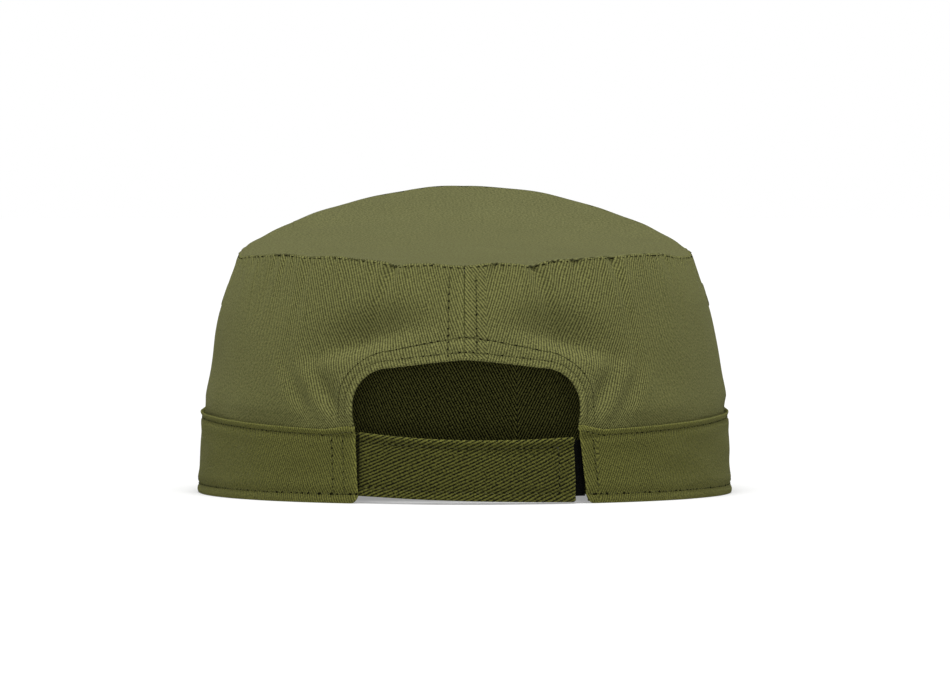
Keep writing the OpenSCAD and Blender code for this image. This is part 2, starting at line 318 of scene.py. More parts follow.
def mesh_piece(name, points, faces, weave=None, painted_light_and_shade=None, face_slots=None):
    """A smooth mesh from points in millimetres. weave is each point's place in the cloth, and the
    painted-light values lighten it as a painted highlight or darken it as painted shade.
    """
    mesh = bpy.data.meshes.new(name)
    mesh.from_pydata((np.asarray(points) * MM).tolist(), [], faces)
    mesh.update()
    corners = np.zeros(len(mesh.loops), int)
    mesh.loops.foreach_get("vertex_index", corners)
    if weave is not None:
        layer = mesh.uv_layers.new(name="Weave")
        layer.data.foreach_set("uv", np.asarray(weave, np.float32)[corners].ravel())
    if painted_light_and_shade is not None:
        mesh.attributes.new("PaintedLightAndShade", "FLOAT", "POINT").data.foreach_set("value", np.asarray(painted_light_and_shade, np.float32))
    if face_slots is not None:
        mesh.polygons.foreach_set("material_index", np.asarray(face_slots, np.int32))
    body = bmesh.new()
    body.from_mesh(mesh)
    bmesh.ops.recalc_face_normals(body, faces=body.faces)
    body.to_mesh(mesh)
    body.free()
    mesh.polygons.foreach_set("use_smooth", np.ones(len(mesh.polygons), bool))
    return link(name, mesh)


def closed_cloth(name, outer, inner, faces, weave, painted_light_and_shade=None, face_slots=None):
    """Closes two faces of a cloth along every free edge of the outer one."""
    n = len(outer)
    used = {}
    for face in faces:
        for a, b in zip(face, face[1:] + face[:1]):
            used[(a, b)] = used.get((a, b), 0) + 1
    rim = [(a, b) for a, b in used if (b, a) not in used]
    back = [tuple(n + i for i in reversed(face)) for face in faces]
    sides = [(b, a, n + a, n + b) for a, b in rim]
    painted_light_and_shade = np.zeros(n) if painted_light_and_shade is None else painted_light_and_shade
    return mesh_piece(
        name,
        np.concatenate([outer, inner]),
        [tuple(f) for f in faces] + back + sides,
        np.concatenate([weave, weave]),
        np.concatenate([painted_light_and_shade, painted_light_and_shade]),
        None if face_slots is None else face_slots * 2 + [0] * len(sides),
    )


def grid_faces(rows, columns):
    """Faces between neighbouring points of a grid."""
    return [
        [i * columns + j, (i + 1) * columns + j, (i + 1) * columns + j + 1, i * columns + j + 1]
        for i in range(rows - 1)
        for j in range(columns - 1)
    ]


def closed_rings(first, rings, sides):
    """Faces of a closed tube whose points start at a number, ring by ring."""
    wall_faces = [
        (first + i * sides + j, first + i * sides + (j + 1) % sides,
         first + (i + 1) * sides + (j + 1) % sides, first + (i + 1) * sides + j)
        for i in range(rings - 1)
        for j in range(sides)
    ]
    last = first + (rings - 1) * sides
    low_end = tuple(first + j for j in reversed(range(sides)))
    high_end = tuple(last + j for j in range(sides))
    return wall_faces + [low_end, high_end]


# Share of a cloth's thickness by which each of its faces falls away at a rounded edge
EDGE_ROUND = 0.48
EDGE_STEPS = np.array([0, 0.12, 0.3, 0.55, 0.9, 1.4, 2.0])


def ticks(length, pitch):
    """Places from 0 to length, closer together near both ends."""
    middle = np.linspace(EDGE_STEPS[-1], length - EDGE_STEPS[-1], max(2, round((length - 4) / pitch) + 1))
    return np.concatenate([EDGE_STEPS[:-1], middle, length - EDGE_STEPS[-2::-1]])


def roll(gap, radius):
    """How far a rounded edge falls away at a distance from the edge."""
    share = 1 - np.clip(gap / radius, 0, 1)
    return radius * (1 - np.sqrt(np.maximum(0, 1 - share**2)))


END_FOLD = 42.5


def wall_cloth(name, t0, t1, low, high, layer, relief, pitch=1.2, *, height, roll_r=None,
               mirrored=False, corner=0.0):
    """A cloth on the wall. t0 and t1 may depend on the height's share, low and high on the angle."""
    share_z = ticks(height, pitch)
    share_z = share_z / share_z[-1]
    ends = [np.array([f(v) if callable(f) else f for v in share_z], float) for f in (t0, t1)]
    length = float(along(ends[1].mean()) - along(ends[0].mean()))
    share_t = ticks(length, pitch)
    share_t = share_t / share_t[-1]
    t = ends[0][None, :] + share_t[:, None] * (ends[1] - ends[0])[None, :]
    to_end = np.minimum(share_t, 1 - share_t)[:, None] * length
    cut = corner - np.sqrt(np.maximum(0, corner**2 - np.maximum(0, corner - to_end) ** 2))
    z = low(t) + cut + share_z[None, :] * (high(t) - low(t) - cut)
    gap = np.minimum.reduce([
        to_end + 0 * z,
        z - low(t) - cut,
        high(t) - z,
    ])
    thick = layer[1] - layer[0]
    fall = roll(gap, roll_r or EDGE_ROUND * thick) * EDGE_ROUND * thick / (roll_r or EDGE_ROUND * thick)
    lift = relief(t, z)
    outer = wall(t, z, layer[0] - lift + fall).reshape(-1, 3)
    inner = wall(t, z, layer[1] - lift - fall).reshape(-1, 3)
    weave_u = along(t)
    if mirrored:
        from_back = ROUND / 2 - abs(weave_u - ROUND / 2)
        weave_u = np.where(weave_u > ROUND / 2, END_FOLD + abs(from_back - END_FOLD), from_back)
    weave = np.stack([weave_u, z], -1).reshape(-1, 2)
    # Rounded edges get a painted highlight.
    return closed_cloth(name, outer, inner, grid_faces(*t.shape), weave, bump(gap, 0.9).ravel())


def inside(points, loop):
    """Which points lie inside a closed loop of points."""
    x, y = points[:, 0], points[:, 1]
    result = np.zeros(len(points), bool)
    for (x0, y0), (x1, y1) in zip(loop, np.roll(loop, -1, axis=0)):
        if y0 != y1:
            crosses = ((y0 > y) != (y1 > y)) & (x < (x1 - x0) * (y - y0) / (y1 - y0) + x0)
            result ^= crosses
    return result


def distance_to(points, loop_points):
    result = np.empty(len(points))
    for i in range(0, len(points), 2000):
        block = points[i : i + 2000, None, :] - loop_points[None, :, :]
        result[i : i + 2000] = np.sqrt((block**2).sum(-1)).min(1)
    return result


def resample(loop, pitch, closed=True):
    """Points at an even pitch along a loop or line, with its corners kept near."""
    loop = np.asarray(loop, float)
    path = np.vstack([loop, loop[:1]]) if closed else loop
    walk = walked(path)
    count = max(3, round(walk[-1] / pitch))
    places = np.linspace(0, walk[-1], count + 1)[: count if closed else None]
    return np.stack([np.interp(places, walk, path[:, k]) for k in range(path.shape[1])], -1)


def fill_outline(loops, pitch, fold=None):
    """Triangles that fill the first loop and leave out the others: (points, faces, distance to the edge).

    A fold is a line that the triangles' edges follow.
    """
    lines = [resample(loop, pitch * 0.6) for loop in loops]
    edge_points = np.concatenate([resample(loop, 0.25) for loop in loops])
    offsets = []
    for line in lines:
        direction = np.roll(line, -1, axis=0) - np.roll(line, 1, axis=0)
        normal = unit(np.stack([-direction[:, 1], direction[:, 0]], -1))
        for step in EDGE_STEPS[1:5]:
            for sign in (1, -1):
                moved = line + sign * step * normal
                offsets.append(moved[distance_to(moved, edge_points) > step * 0.93])
    low, high = lines[0].min(0), lines[0].max(0)
    rows = np.arange(low[1], high[1], pitch * 0.87)
    field = np.array([
        (x, y) for k, y in enumerate(rows) for x in np.arange(low[0] + (k % 2) * pitch / 2, high[0], pitch)
    ])
    field = field[distance_to(field, edge_points) > EDGE_STEPS[4] + 0.5 * pitch]
    loose = np.concatenate(offsets + [field])
    if fold is not None:
        apart = loose[distance_to(loose, fold) > 0.45]
        loose = np.concatenate([apart, fold[distance_to(fold, edge_points) > 0.3]])
    loose = loose[inside(loose, lines[0])]
    for hole in lines[1:]:
        loose = loose[~inside(loose, hole)]
    points = np.concatenate(lines + [loose])
    made = delaunay_2d_cdt([Vector(p) for p in points], [], [], 0, 1e-6)
    flat = np.array([tuple(p) for p in made[0]])
    faces = np.array(made[2])
    middle = flat[faces].mean(1)
    keep = inside(middle, lines[0])
    for hole in lines[1:]:
        keep &= ~inside(middle, hole)
    faces = faces[keep]
    used = np.unique(faces)
    renumber = np.full(len(flat), -1)
    renumber[used] = np.arange(len(used))
    flat = flat[used]
    return flat, [list(map(int, f)) for f in renumber[faces]], distance_to(flat, edge_points)


SEAM_STRIP = 6.6
SEAM_ROLL = 0.6


def skewed(place):
    """The weave's own coordinates.

    The cloth is pulled towards the opening's lower corners, and its wales lean more at the sides.
    """
    apart = abs(place[:, 0]) - 48
    share = np.exp(-((apart / np.where(apart > 0, 24, 17)) ** 2))
    above = place[:, 1] - 33
    pull = 4.2 * np.exp(-((above / np.where(above > 0, 26, 9)) ** 2))
    lean = 0.006 * np.clip(abs(place[:, 0]) - 25, 0, 60) * (place[:, 1] - 45)
    shift = (pull * share + lean) * np.sign(place[:, 0])
    return np.stack([place[:, 0] - shift, place[:, 1]], -1)


def cut_cloth(name, loops, layer, relief, pitch=1.2, top_roll=False, strip=False):
    """A cloth on the wall, cut to outlines in (distance along, height).

    With strip, the cloth by the back seam has a slot of its own.
    """
    rise = np.arange(0, 100, 0.45)
    fold = np.stack([-SEAM_STRIP - 0.012 * rise, rise], -1) if strip else None
    flat, faces, gap = fill_outline(loops, pitch, fold)
    t, z = angle_along(flat[:, 0]), flat[:, 1]
    thick = layer[1] - layer[0]
    fall = roll(gap, 0.45) / 0.45 * EDGE_ROUND * thick
    turn_in = roll(seam_z(t) - z, SEAM_ROLL) if top_roll else 0
    lift = relief(t, z) - turn_in
    outer = wall(t, z, layer[0] - lift + fall)
    inner = wall(t, z, layer[1] - lift - fall)
    on_strip = None
    if strip:
        middle = flat[np.array(faces)].mean(1)
        on_strip = (middle[:, 0] > -SEAM_STRIP - 0.012 * middle[:, 1]).astype(int).tolist()
    # Painted highlight along the cut edges, weaker near the top seam.
    painted_light_and_shade = bump(gap, 0.9) * (np.clip((seam_z(t) - z) / 4, 0.1, 1) if top_roll else 1)
    return closed_cloth(name, outer, inner, faces, skewed(flat), painted_light_and_shade, on_strip)


# --- Materials -------------------------------------------------------------------

class Nodes:
    """A short way to write a node material."""

    def __init__(self, name):
        self.material = bpy.data.materials.new(name)
        self.material.use_nodes = True
        self.tree = self.material.node_tree
        self.shader = self.tree.nodes["Principled BSDF"]

    def add(self, kind, **settings):
        made = self.tree.nodes.new(kind)
        for key, value in settings.items():
            setattr(made, key, value)
        return made

    def join(self, output, socket):
        self.tree.links.new(output, socket)

    def value(self, socket, given):
        if isinstance(given, bpy.types.NodeSocket):
            self.join(given, socket)
        else:
            socket.default_value = given

    def math(self, operation, a, b=0.0, c=0.0, clamp=False):
        made = self.add("ShaderNodeMath", operation=operation, use_clamp=clamp)
        for socket, given in zip(made.inputs, (a, b, c)):
            self.value(socket, given)
        return made.outputs[0]

    def noise(self, vector, scale, detail=2.0, rough=0.5):
        made = self.add("ShaderNodeTexNoise")
        self.join(vector, made.inputs["Vector"])
        made.inputs["Scale"].default_value = scale
        made.inputs["Detail"].default_value = detail
        made.inputs["Roughness"].default_value = rough
        return made.outputs["Fac"]

    def scale_colour(self, colour, factor):
        made = self.add("ShaderNodeVectorMath", operation="SCALE")
        made.inputs[0].default_value = colour[:3]
        self.value(made.inputs["Scale"], factor)
        return made.outputs[0]

    def bump(self, height, distance, strength=1.0):
        made = self.add("ShaderNodeBump")
        made.inputs["Strength"].default_value = strength
        made.inputs["Distance"].default_value = distance
        self.join(height, made.inputs["Height"])
        self.join(made.outputs[0], self.shader.inputs["Normal"])

    def finish(self, roughness, sheen=0.0, specular=0.3, sheen_tint=(1, 1, 1, 1)):
        self.shader.inputs["Roughness"].default_value = roughness
        self.shader.inputs["Sheen Weight"].default_value = sheen
        self.shader.inputs["Sheen Roughness"].default_value = 0.45
        self.shader.inputs["Sheen Tint"].default_value = sheen_tint
        self.shader.inputs["Specular IOR Level"].default_value = specular
        return self.material


def shaded(colour, share, blue=1.0):
    """A colour made darker or lighter, with its own share of blue."""
    return (colour[0] * share, colour[1] * share, colour[2] * share * blue, 1)


OLIVE = (0.11, 0.111, 0.036, 1)


def twill(name, colour, lean, contrast=0.62, relief=0.2, pitch=0.87, wander=1.8):
    """Cotton twill. lean is the wales' angle from the cloth's length, as seen on its face."""
    n = Nodes(name)
    uv = n.add("ShaderNodeUVMap", uv_map="Weave").outputs[0]
    place = n.add("ShaderNodeTexCoord").outputs["Object"]
    apart = n.add("ShaderNodeSeparateXYZ")
    n.join(uv, apart.inputs[0])
    u, v = apart.outputs[0], apart.outputs[1]
    a = math.radians(lean)
    drift = n.math("MULTIPLY", n.math("SUBTRACT", n.noise(uv, 0.05, 4), 0.5), wander)
    across = n.math("ADD", n.math("MULTIPLY_ADD", u, -math.sin(a), n.math("MULTIPLY", v, math.cos(a))), drift)
    turns = n.math("MULTIPLY", across, 2 * math.pi / pitch)
    wale = n.math("MULTIPLY_ADD", n.math("SINE", turns), 0.5, 0.5)
    ridge = n.math("POWER", wale, 0.75)
    yarn_turns = n.math("MULTIPLY_ADD", v, 2 * math.pi / 0.7, n.math("MULTIPLY", turns, 0.5))
    yarn = n.math("MULTIPLY_ADD", n.math("SINE", yarn_turns), 0.5, 0.5)
    slub = n.noise(uv, 1.3, 3, 0.6)
    ahead = n.math("MULTIPLY_ADD", u, math.cos(a), n.math("MULTIPLY", v, math.sin(a)))
    yarns = n.add("ShaderNodeCombineXYZ")
    n.join(n.math("MULTIPLY", across, 1.0 / pitch), yarns.inputs[0])
    n.join(n.math("MULTIPLY", ahead, 1.7), yarns.inputs[1])
    broken = n.noise(yarns.outputs[0], 1.0, 1)
    fibre = n.noise(uv, 5.0, 2, 0.6)
    mottle = n.noise(place, 45, 3)
    pattern = n.math("MULTIPLY", ridge, n.math("MULTIPLY_ADD", yarn, 0.2, 0.84))
    gaps = n.math("MULTIPLY", n.math("SUBTRACT", broken, 0.5), 1.9)
    breaks = n.math("ADD", gaps, n.math("SUBTRACT", slub, 0.5))
    pattern = n.math("MULTIPLY_ADD", breaks, 0.8, pattern, clamp=True)
    shade = n.math("MAXIMUM", n.math("MULTIPLY_ADD", pattern, contrast * 1.9, 1 - contrast), 0.06)
    shade = n.math("MULTIPLY", shade, n.math("MULTIPLY_ADD", mottle, 0.16, 0.92))
    shade = n.math("MULTIPLY", shade, n.math("MULTIPLY_ADD", fibre, 0.24, 0.88))
    # Painted light per point: a painted highlight on edges and folds, and painted shade where the values are
    # negative.
    painted_light_and_shade = n.add("ShaderNodeAttribute", attribute_name="PaintedLightAndShade").outputs["Fac"]
    shade = n.math("MULTIPLY", shade, n.math("MULTIPLY_ADD", painted_light_and_shade, 0.34, 1.0))
    n.join(n.scale_colour(colour, shade), n.shader.inputs["Base Color"])
    height = n.math("MULTIPLY_ADD", fibre, 0.25, pattern)
    n.bump(height, relief * MM, 0.9)
    return n.finish(0.95, sheen=0.075, specular=0.1, sheen_tint=(0.86, 0.88, 0.4, 1))


def plain_cloth(name, colour, pitch=0.5, relief=0.1, spots=0.3):
    """Plain woven or felted cloth, from the crossing of two yarn directions."""
    n = Nodes(name)
    uv = n.add("ShaderNodeUVMap", uv_map="Weave").outputs[0]
    apart = n.add("ShaderNodeSeparateXYZ")
    n.join(uv, apart.inputs[0])
    warp = n.math("SINE", n.math("MULTIPLY", apart.outputs[0], 2 * math.pi / pitch))
    weft = n.math("SINE", n.math("MULTIPLY", apart.outputs[1], 2 * math.pi / pitch))
    pattern = n.math("MULTIPLY_ADD", n.math("MULTIPLY", warp, weft), 0.5, 0.5)
    fuzz = n.noise(uv, 1.6, 4, 0.65)
    shade = n.math("MULTIPLY_ADD", pattern, 0.2, n.math("MULTIPLY_ADD", fuzz, spots, 0.9 - spots / 2))
    n.join(n.scale_colour(colour, shade), n.shader.inputs["Base Color"])
    n.bump(n.math("ADD", pattern, fuzz), relief * MM, 0.8)
    return n.finish(0.95, sheen=0.1, specular=0.1)


def solid_noise(name, colour, scale, roughness, relief=0.05, spread=0.3, sheen=0.0, specular=0.3):
    """A material whose colour and height vary with a fine noise through its volume."""
    n = Nodes(name)
    place = n.add("ShaderNodeTexCoord").outputs["Object"]
    grain = n.noise(place, scale, 4, 0.6)
    cloud = n.noise(place, scale / 14, 2)
    grainy = n.math("MULTIPLY_ADD", grain, spread * 2, 1 - spread)
    shade = n.math("MULTIPLY", grainy, n.math("MULTIPLY_ADD", cloud, 0.3, 0.85))
    n.join(n.scale_colour(colour, shade), n.shader.inputs["Base Color"])
    n.bump(grain, relief * MM, 0.7)
    return n.finish(roughness, sheen=sheen, specular=specular)


LINING = {"contrast": 1.9, "pitch": 0.92, "wander": 1.2}

M = {
    "crown_left": twill("twill_crown_left", OLIVE, 70),
    "crown_right": twill("twill_crown_right", OLIVE, 110),
    "seam_strip": twill("twill_seam_strip", OLIVE, 50),
    # Painted light and shade: the top's twill is the olive with more blue for a lit look, and the band's, the
    # strap's and tab's, and the sweatband's twills are darker copies of it, painted shade.
    "top": twill("twill_top", shaded(OLIVE, 0.97, 1.2), 48, contrast=0.6, relief=0.16),
    "front": twill("twill_front", OLIVE, 66),
    "band": twill("twill_band", shaded(OLIVE, 0.79, 0.72), 66, contrast=0.55, pitch=0.8),
    "strap": twill("twill_strap", shaded(OLIVE, 0.46, 0.6), 154,
                   contrast=1.05, relief=0.3, pitch=1.0, wander=1.6),
    "inside": twill("twill_inside", shaded(OLIVE, 0.68, 0.8), 119, **LINING),
    "inside_join": twill("twill_inside_join", shaded(OLIVE, 0.68, 0.8), 61, **LINING),
    "peak": twill("twill_peak", OLIVE, 70),
    "tape": plain_cloth("binding_tape", shaded(OLIVE, 0.8)),
    "felt": plain_cloth("non_woven", (0.062, 0.062, 0.045, 1), pitch=0.9, spots=0.4),
    "buckram": plain_cloth("buckram", (0.66, 0.64, 0.56, 1), pitch=1.1, relief=0.2),
    "label": plain_cloth("label_satin", (0.035, 0.036, 0.03, 1), pitch=0.3, relief=0.04, spots=0.1),
    "thread": solid_noise("sewing_thread", (0.074, 0.075, 0.024, 1), 2600, 0.85, 0.05, 0.35, specular=0.1),
    "eyelet_thread": solid_noise("eyelet_thread", (0.1, 0.102, 0.034, 1), 2200,
                                 0.85, 0.12, 0.35, specular=0.1),
    # Painted shade: a near-black lens stands in for the shade in each needle hole.
    "painted_hole_shade": solid_noise("painted_hole_shade", (0.01, 0.01, 0.004, 1), 3000, 1.0, 0.02, 0.3, specular=0.0),
    "loop": solid_noise("loop_nylon", (0.0045, 0.0045, 0.004, 1), 1100, 1.0, 0.5, 0.9, specular=0.0),
    "hook": solid_noise("hook_nylon", (0.02, 0.02, 0.017, 1), 1500, 0.45, 0.1, 0.4),
    "board": solid_noise("peak_board", (0.06, 0.06, 0.055, 1), 900, 0.5, 0.02, 0.1),
}


def dress(piece, *materials):
    """Gives a new piece its materials, in the order of its faces' slots."""
    for name in materials:
        piece.data.materials.append(M[name])
    return piece


def place_on(piece, body, slot, *nodes):
    """Fastens a piece to a CAD body and hides the CAD nodes that it stands for. The slot is not used."""
    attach(piece, body)
    if nodes:
        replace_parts(piece, *nodes)
    return piece


# --- Crown -----------------------------------------------------------------------

HIDDEN_UNDER_BAND = 6
EYELET_Z = 64.3
EYELETS = [88, 105, -88, -105]
EYELET_HOLE = 2.0


def side_panel_outlines(side):
    """Outline of a side panel in (distance along, height), and its eyelet holes. side is 1 at the left."""
    gap = 0.06
    edge = arch_edge(side)
    edge = edge[edge[:, 1] > 22.5]
    edge_s = side * along(angle_at(edge[:, 0], edge[:, 1]))
    start = np.interp(gap, edge_s, edge[:, 1]) if edge_s[0] < gap else edge[0, 1]
    arch = np.stack([edge_s, edge[:, 1]], -1)[edge_s > gap + 0.3]
    arch = np.concatenate([[[gap, start]], arch])
    bottom_t = np.linspace(angle_along(arch[-1, 0]) + 3, FRONT_SEAM - 0.05, 160)
    bottom = np.stack([along(bottom_t), band_z(bottom_t) - HIDDEN_UNDER_BAND], -1)
    top_t = np.linspace(FRONT_SEAM - 0.05, 0.05, 260)
    top = np.stack([along(top_t), seam_z(side * top_t)], -1)
    outline = np.concatenate([arch, bottom, top]) * [side, 1]
    holes = []
    for t in EYELETS:
        if t * side > 0:
            turn = np.radians(np.arange(0, 360, 15))
            across, up = EYELET_HOLE * np.cos(turn), EYELET_HOLE * np.sin(turn)
            holes.append(np.stack([along(t) + across, EYELET_Z + up], -1))
    return [outline] + holes


for side, word in ((1, "left"), (-1, "right")):
    panel = cut_cloth(
        f"crown_side_{word}", side_panel_outlines(side), CROWN, crown_relief, 1.1,
        top_roll=True, strip=side < 0,
    )
    place_on(dress(panel, f"crown_{word}", "seam_strip"), "cap", "olive_twill", f"side_panel_{word}")


def front_relief(t, z):
    return crown_relief(t, z) - roll(seam_z(t) - z, SEAM_ROLL)


front = wall_cloth(
    "crown_front", FRONT_SEAM + 0.05, 360 - FRONT_SEAM - 0.05,
    lambda t: band_z(t) - HIDDEN_UNDER_BAND, seam_z, CROWN, front_relief, height=62,
)
place_on(dress(front, "front"), "cap", "olive_twill", "front_panel")

TOP_DOME = 2.5
TOP_RISE = 0.2


def top_surface(r, t, drop=0.0, inset=0.0):
    """Points of the top panel at shares of the way from its middle to its edge."""
    r, t = together(r, t)
    edge = wall(t, plain_seam_z(t), CROWN[0] + 0.25 + inset)
    y = r * edge[..., 1]
    reach = HALF_L - np.where(y > 0, BACK_LEAN, FRONT_LEAN) - CROWN[0]
    climb = (FRONT_H - BACK_H) * np.clip((1 - y / reach) / 2, 0, 1) ** SEAM_CLIMB
    z = BACK_H + climb + TOP_DOME * (1 - r**2) + seam_shoulder(t) * np.clip(r, 0, 1) ** 3
    z = z - (plain_seam_z(t) - seam_z(t)) * np.clip(r, 0, 1) ** 14
    to_edge = (1 - r) * np.hypot(edge[..., 0], edge[..., 1])
    flat = np.stack([r * edge[..., 0], y, 0 * y], -1)
    calm = np.clip(to_edge / 8, 0, 1)
    z = z + TOP_RISE * (1 - 2 * calm) + (0.5 * soft_noise(flat, 30, 4) + 0.2 * soft_noise(flat, 12, 6)) * calm
    s = centred(along(t))
    for at, depth, width, length, slant in CROWN_CREASES:
        across = s - at + slant * to_edge
        fade = np.exp(-to_edge / (0.8 * length))
        z = z - 0.22 * depth * bump(across, width) * fade * np.clip(to_edge / 1.5, 0, 1)
    return np.stack([r * edge[..., 0], y, z - drop], -1)


def top_cloth(name, drop, thickness, inset, rings):
    """A layer of the round top panel."""
    t = np.linspace(0, 360, 361)[:-1]
    r = 1 - np.concatenate([[0, 0.0016, 0.004, 0.008, 0.013, 0.02, 0.03], np.linspace(0.042, 0.985, rings)])
    grid_r, grid_t = np.meshgrid(r, t, indexing="ij")
    to_edge = ((1 - grid_r) * 80).ravel()
    fall = (roll(to_edge, 0.6) / 0.6 * EDGE_ROUND * thickness).reshape(-1, 1) * [0, 0, 1]
    outer = top_surface(grid_r, grid_t, drop, inset).reshape(-1, 3) - fall
    inner = top_surface(grid_r, grid_t, drop + thickness, inset).reshape(-1, 3) + fall
    columns = len(t)
    faces = [
        [i * columns + j, (i + 1) * columns + j,
         (i + 1) * columns + (j + 1) % columns, i * columns + (j + 1) % columns]
        for i in range(len(r) - 1)
        for j in range(columns)
    ]
    faces.append([(len(r) - 1) * columns + j for j in reversed(range(columns))])
    weave = outer[:, :2]
    return closed_cloth(name, outer, inner, faces, weave)


top = top_cloth("crown_top", 0, 0.7, 0, 76)
place_on(dress(top, "top"), "cap", "olive_twill", "top_panel")
top_core = top_cloth("crown_top_interlining", 0.85, 0.4, 2.2, 40)
place_on(dress(top_core, "felt"), "cap", "interlining", "top_interlining")



def half_relief(t, z):
    return 0.9 * crown_relief(t, z)


buckram = wall_cloth(
    "front_stiffener", FRONT_SEAM + 1, 359 - FRONT_SEAM,
    lambda t: rim_z(t) + 2, lambda t: seam_z(t) - 3, FACING, half_relief, 2.0, height=82,
)
place_on(dress(buckram, "buckram"), "cap", "buckram", "front_buckram")

TAPE_W = 8


def tape_relief(t, z):
    return half_relief(t, z) + 0.12 * np.sin(along(t) / 2.1) * np.sin(z / 3.1)


seam_tape = wall_cloth(
    "top_seam_binding", 0.5, 359.5,
    lambda t: seam_z(t) - TAPE_W - 3, lambda t: seam_z(t) - 3, TAPE, tape_relief, 2.0, height=TAPE_W,
)
place_on(dress(seam_tape, "tape"), "cap", "seam_tape", "top_seam_tape")

back_tape = wall_cloth(
    "back_seam_binding", -4.4, 4.4,
    lambda t: ARCH_H + 9.4 + 0 * t, lambda t: seam_z(t) - 2.6, FACING, half_relief, 1.5, height=20,
)
place_on(dress(back_tape, "tape"), "cap", "seam_tape", "back_seam_tape")

for word, middle in (("left", FRONT_SEAM), ("right", 360 - FRONT_SEAM)):
    front_tape = wall_cloth(
        f"front_seam_binding_{word}", middle - 3.8, middle + 3.8,
        lambda t: rim_z(t) + SWEAT_H + 1, lambda t: seam_z(t) - TAPE_W - 3.5,
        TAPE, half_relief, 1.5, height=26,
    )
    place_on(dress(front_tape, "tape"), "cap", "seam_tape", f"front_seam_tape_{word}")


# --- Arch facing -----------------------------------------------------------------

FACING_W = 8.4


def edge_on_wall(side, offset):
    """One half of the opening's edge above the band, as (distance along, height)."""
    edge = arch_edge(side, offset)
    edge = edge[edge[:, 1] > 22]
    return np.stack([along(angle_at(edge[:, 0], edge[:, 1])), edge[:, 1]], -1)

def facing_outline():
    """The opening's edge and a line FACING_W further out."""
    lines = [edge_on_wall(side, offset) for offset, side in ((0, -1), (0, 1), (FACING_W, 1), (FACING_W, -1))]
    return np.concatenate([lines[0][::-1], lines[1][1:], lines[2][::-1], lines[3][1:]])


facing = cut_cloth("rear_arch_facing", [facing_outline()], FACING, crown_relief, 1.6)
place_on(dress(facing, "crown_right"), "cap", "olive_twill", "arch_facing")


def arch_fold_line():
    """The opening's edge from one end to the other, as (distance along, height)."""
    halves = [edge_on_wall(side, 0.45) for side in (-1, 1)]
    return resample(np.concatenate([halves[0][::-1], halves[1][1:]]), 0.7, closed=False)


def rolled_fold(name, line, radius, depth, sides=12):
    """The rounded fold where two cloths are turned at their common edge."""
    ahead = unit(np.gradient(line, axis=0))
    aside = np.stack([ahead[:, 1], -ahead[:, 0]], -1)
    turn = 2 * math.pi * np.arange(sides) / sides
    walk = walked(line)
    size = radius * (1 + 0.12 * np.sin(walk * 2.1) * np.sin(walk / 5.3))
    rings, weave = [], []
    for k in range(sides):
        place = line + aside * (size * math.cos(turn[k]))[:, None]
        t, z = angle_along(place[:, 0]), place[:, 1]
        rings.append(wall(t, z, depth - crown_relief(t, z) - size * math.sin(turn[k])))
        weave.append(skewed(place))
    points, weave = np.stack(rings, 1).reshape(-1, 3), np.stack(weave, 1).reshape(-1, 2)
    faces = closed_rings(0, len(line), sides)
    on_right = [int(points[face[0], 0] < 0) for face in faces]
    # The whole fold gets a painted highlight, as if it caught the light.
    return mesh_piece(name, points, faces, weave, np.full(len(points), 0.5), on_right)


arch_fold = rolled_fold("rear_arch_fold", arch_fold_line(), 0.65, 1.9)
dress(arch_fold, "crown_left", "crown_right")
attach(arch_fold, "cap")

# --- Band and sweatband -------------------------------------------------------------

ARCH_T = float(angle_at(ARCH_HALF, 15, 0))


def band_end(side):
    """Angle of the band's end at a share of its height. Both ends slope a little."""
    low, high = (33.9, 35.0) if side > 0 else (38.9, 36.3)

    def at(share):
        t = float(angle_at(low + (high - low) * share, 22 * share, 0))
        return t if side > 0 else 360 - t

    return at


def band_top(t):
    """Height of the band's upper edge, which climbs to each end."""
    s = centred(along(t))
    climb = np.where(s > 0, 1.3, 1.7) * np.clip((45 - abs(s)) / 7, 0, 1)
    return band_z(t) + climb


band = wall_cloth(
    "turned_band", band_end(1), band_end(-1), rim_z, band_top, BAND, band_relief, 1.1,
    height=27, roll_r=0.8, mirrored=True, corner=2.6,
)
place_on(dress(band, "band"), "cap", "olive_twill", "outer_band")


stiffener = wall_cloth(
    "band_stiffener", ARCH_T + 4, 356 - ARCH_T,
    lambda t: rim_z(t) + 1.4, lambda t: band_z(t) - 1.4, (0.75, 1.0), band_relief, 1.6, height=25,
)
place_on(dress(stiffener, "felt"), "cap", "interlining", "band_interlining")


def sweat_top(t):
    return rim_z(t) + SWEAT_H * (1 - 0.3 * np.clip(cosine(t), 0, 1) ** 6)


def sweat_low(t):
    return rim_z(t) + 0.6 - 1.4 * np.clip(-cosine(t), 0, 1) ** 2


def sweat_relief(t, z):
    place = wall(t, z, SWEATBAND[0])
    edge = sweat_top(t) - z
    return 0.35 * soft_noise(place, 26, 12) - 0.25 * bump(edge - 3, 0.8) + 0.15 * bump(edge - 1, 1)


for word, t0, t1, cloth in (
    ("left", ARCH_T + 1.6, SWEAT_JOIN - 0.02, "inside"),
    ("right", SWEAT_JOIN + 0.02, 356.8 - ARCH_T, "inside_join"),
):
    sweat = wall_cloth(
        f"sweatband_length_{word}", t0, t1, sweat_low, sweat_top, SWEATBAND, sweat_relief, 1.6, height=40,
    )
    place_on(dress(sweat, cloth), "cap", "lining_twill", f"sweatband_{word}")

padding = wall_cloth(
    "sweatband_felt", 185 - FRONT_SEAM, 175 + FRONT_SEAM, lambda t: rim_z(t) + 3,
    lambda t: rim_z(t) + SWEAT_H - 4, TAPE, half_relief, 2.4, height=33,
)
place_on(dress(padding, "felt"), "cap", "interlining", "sweatband_padding")

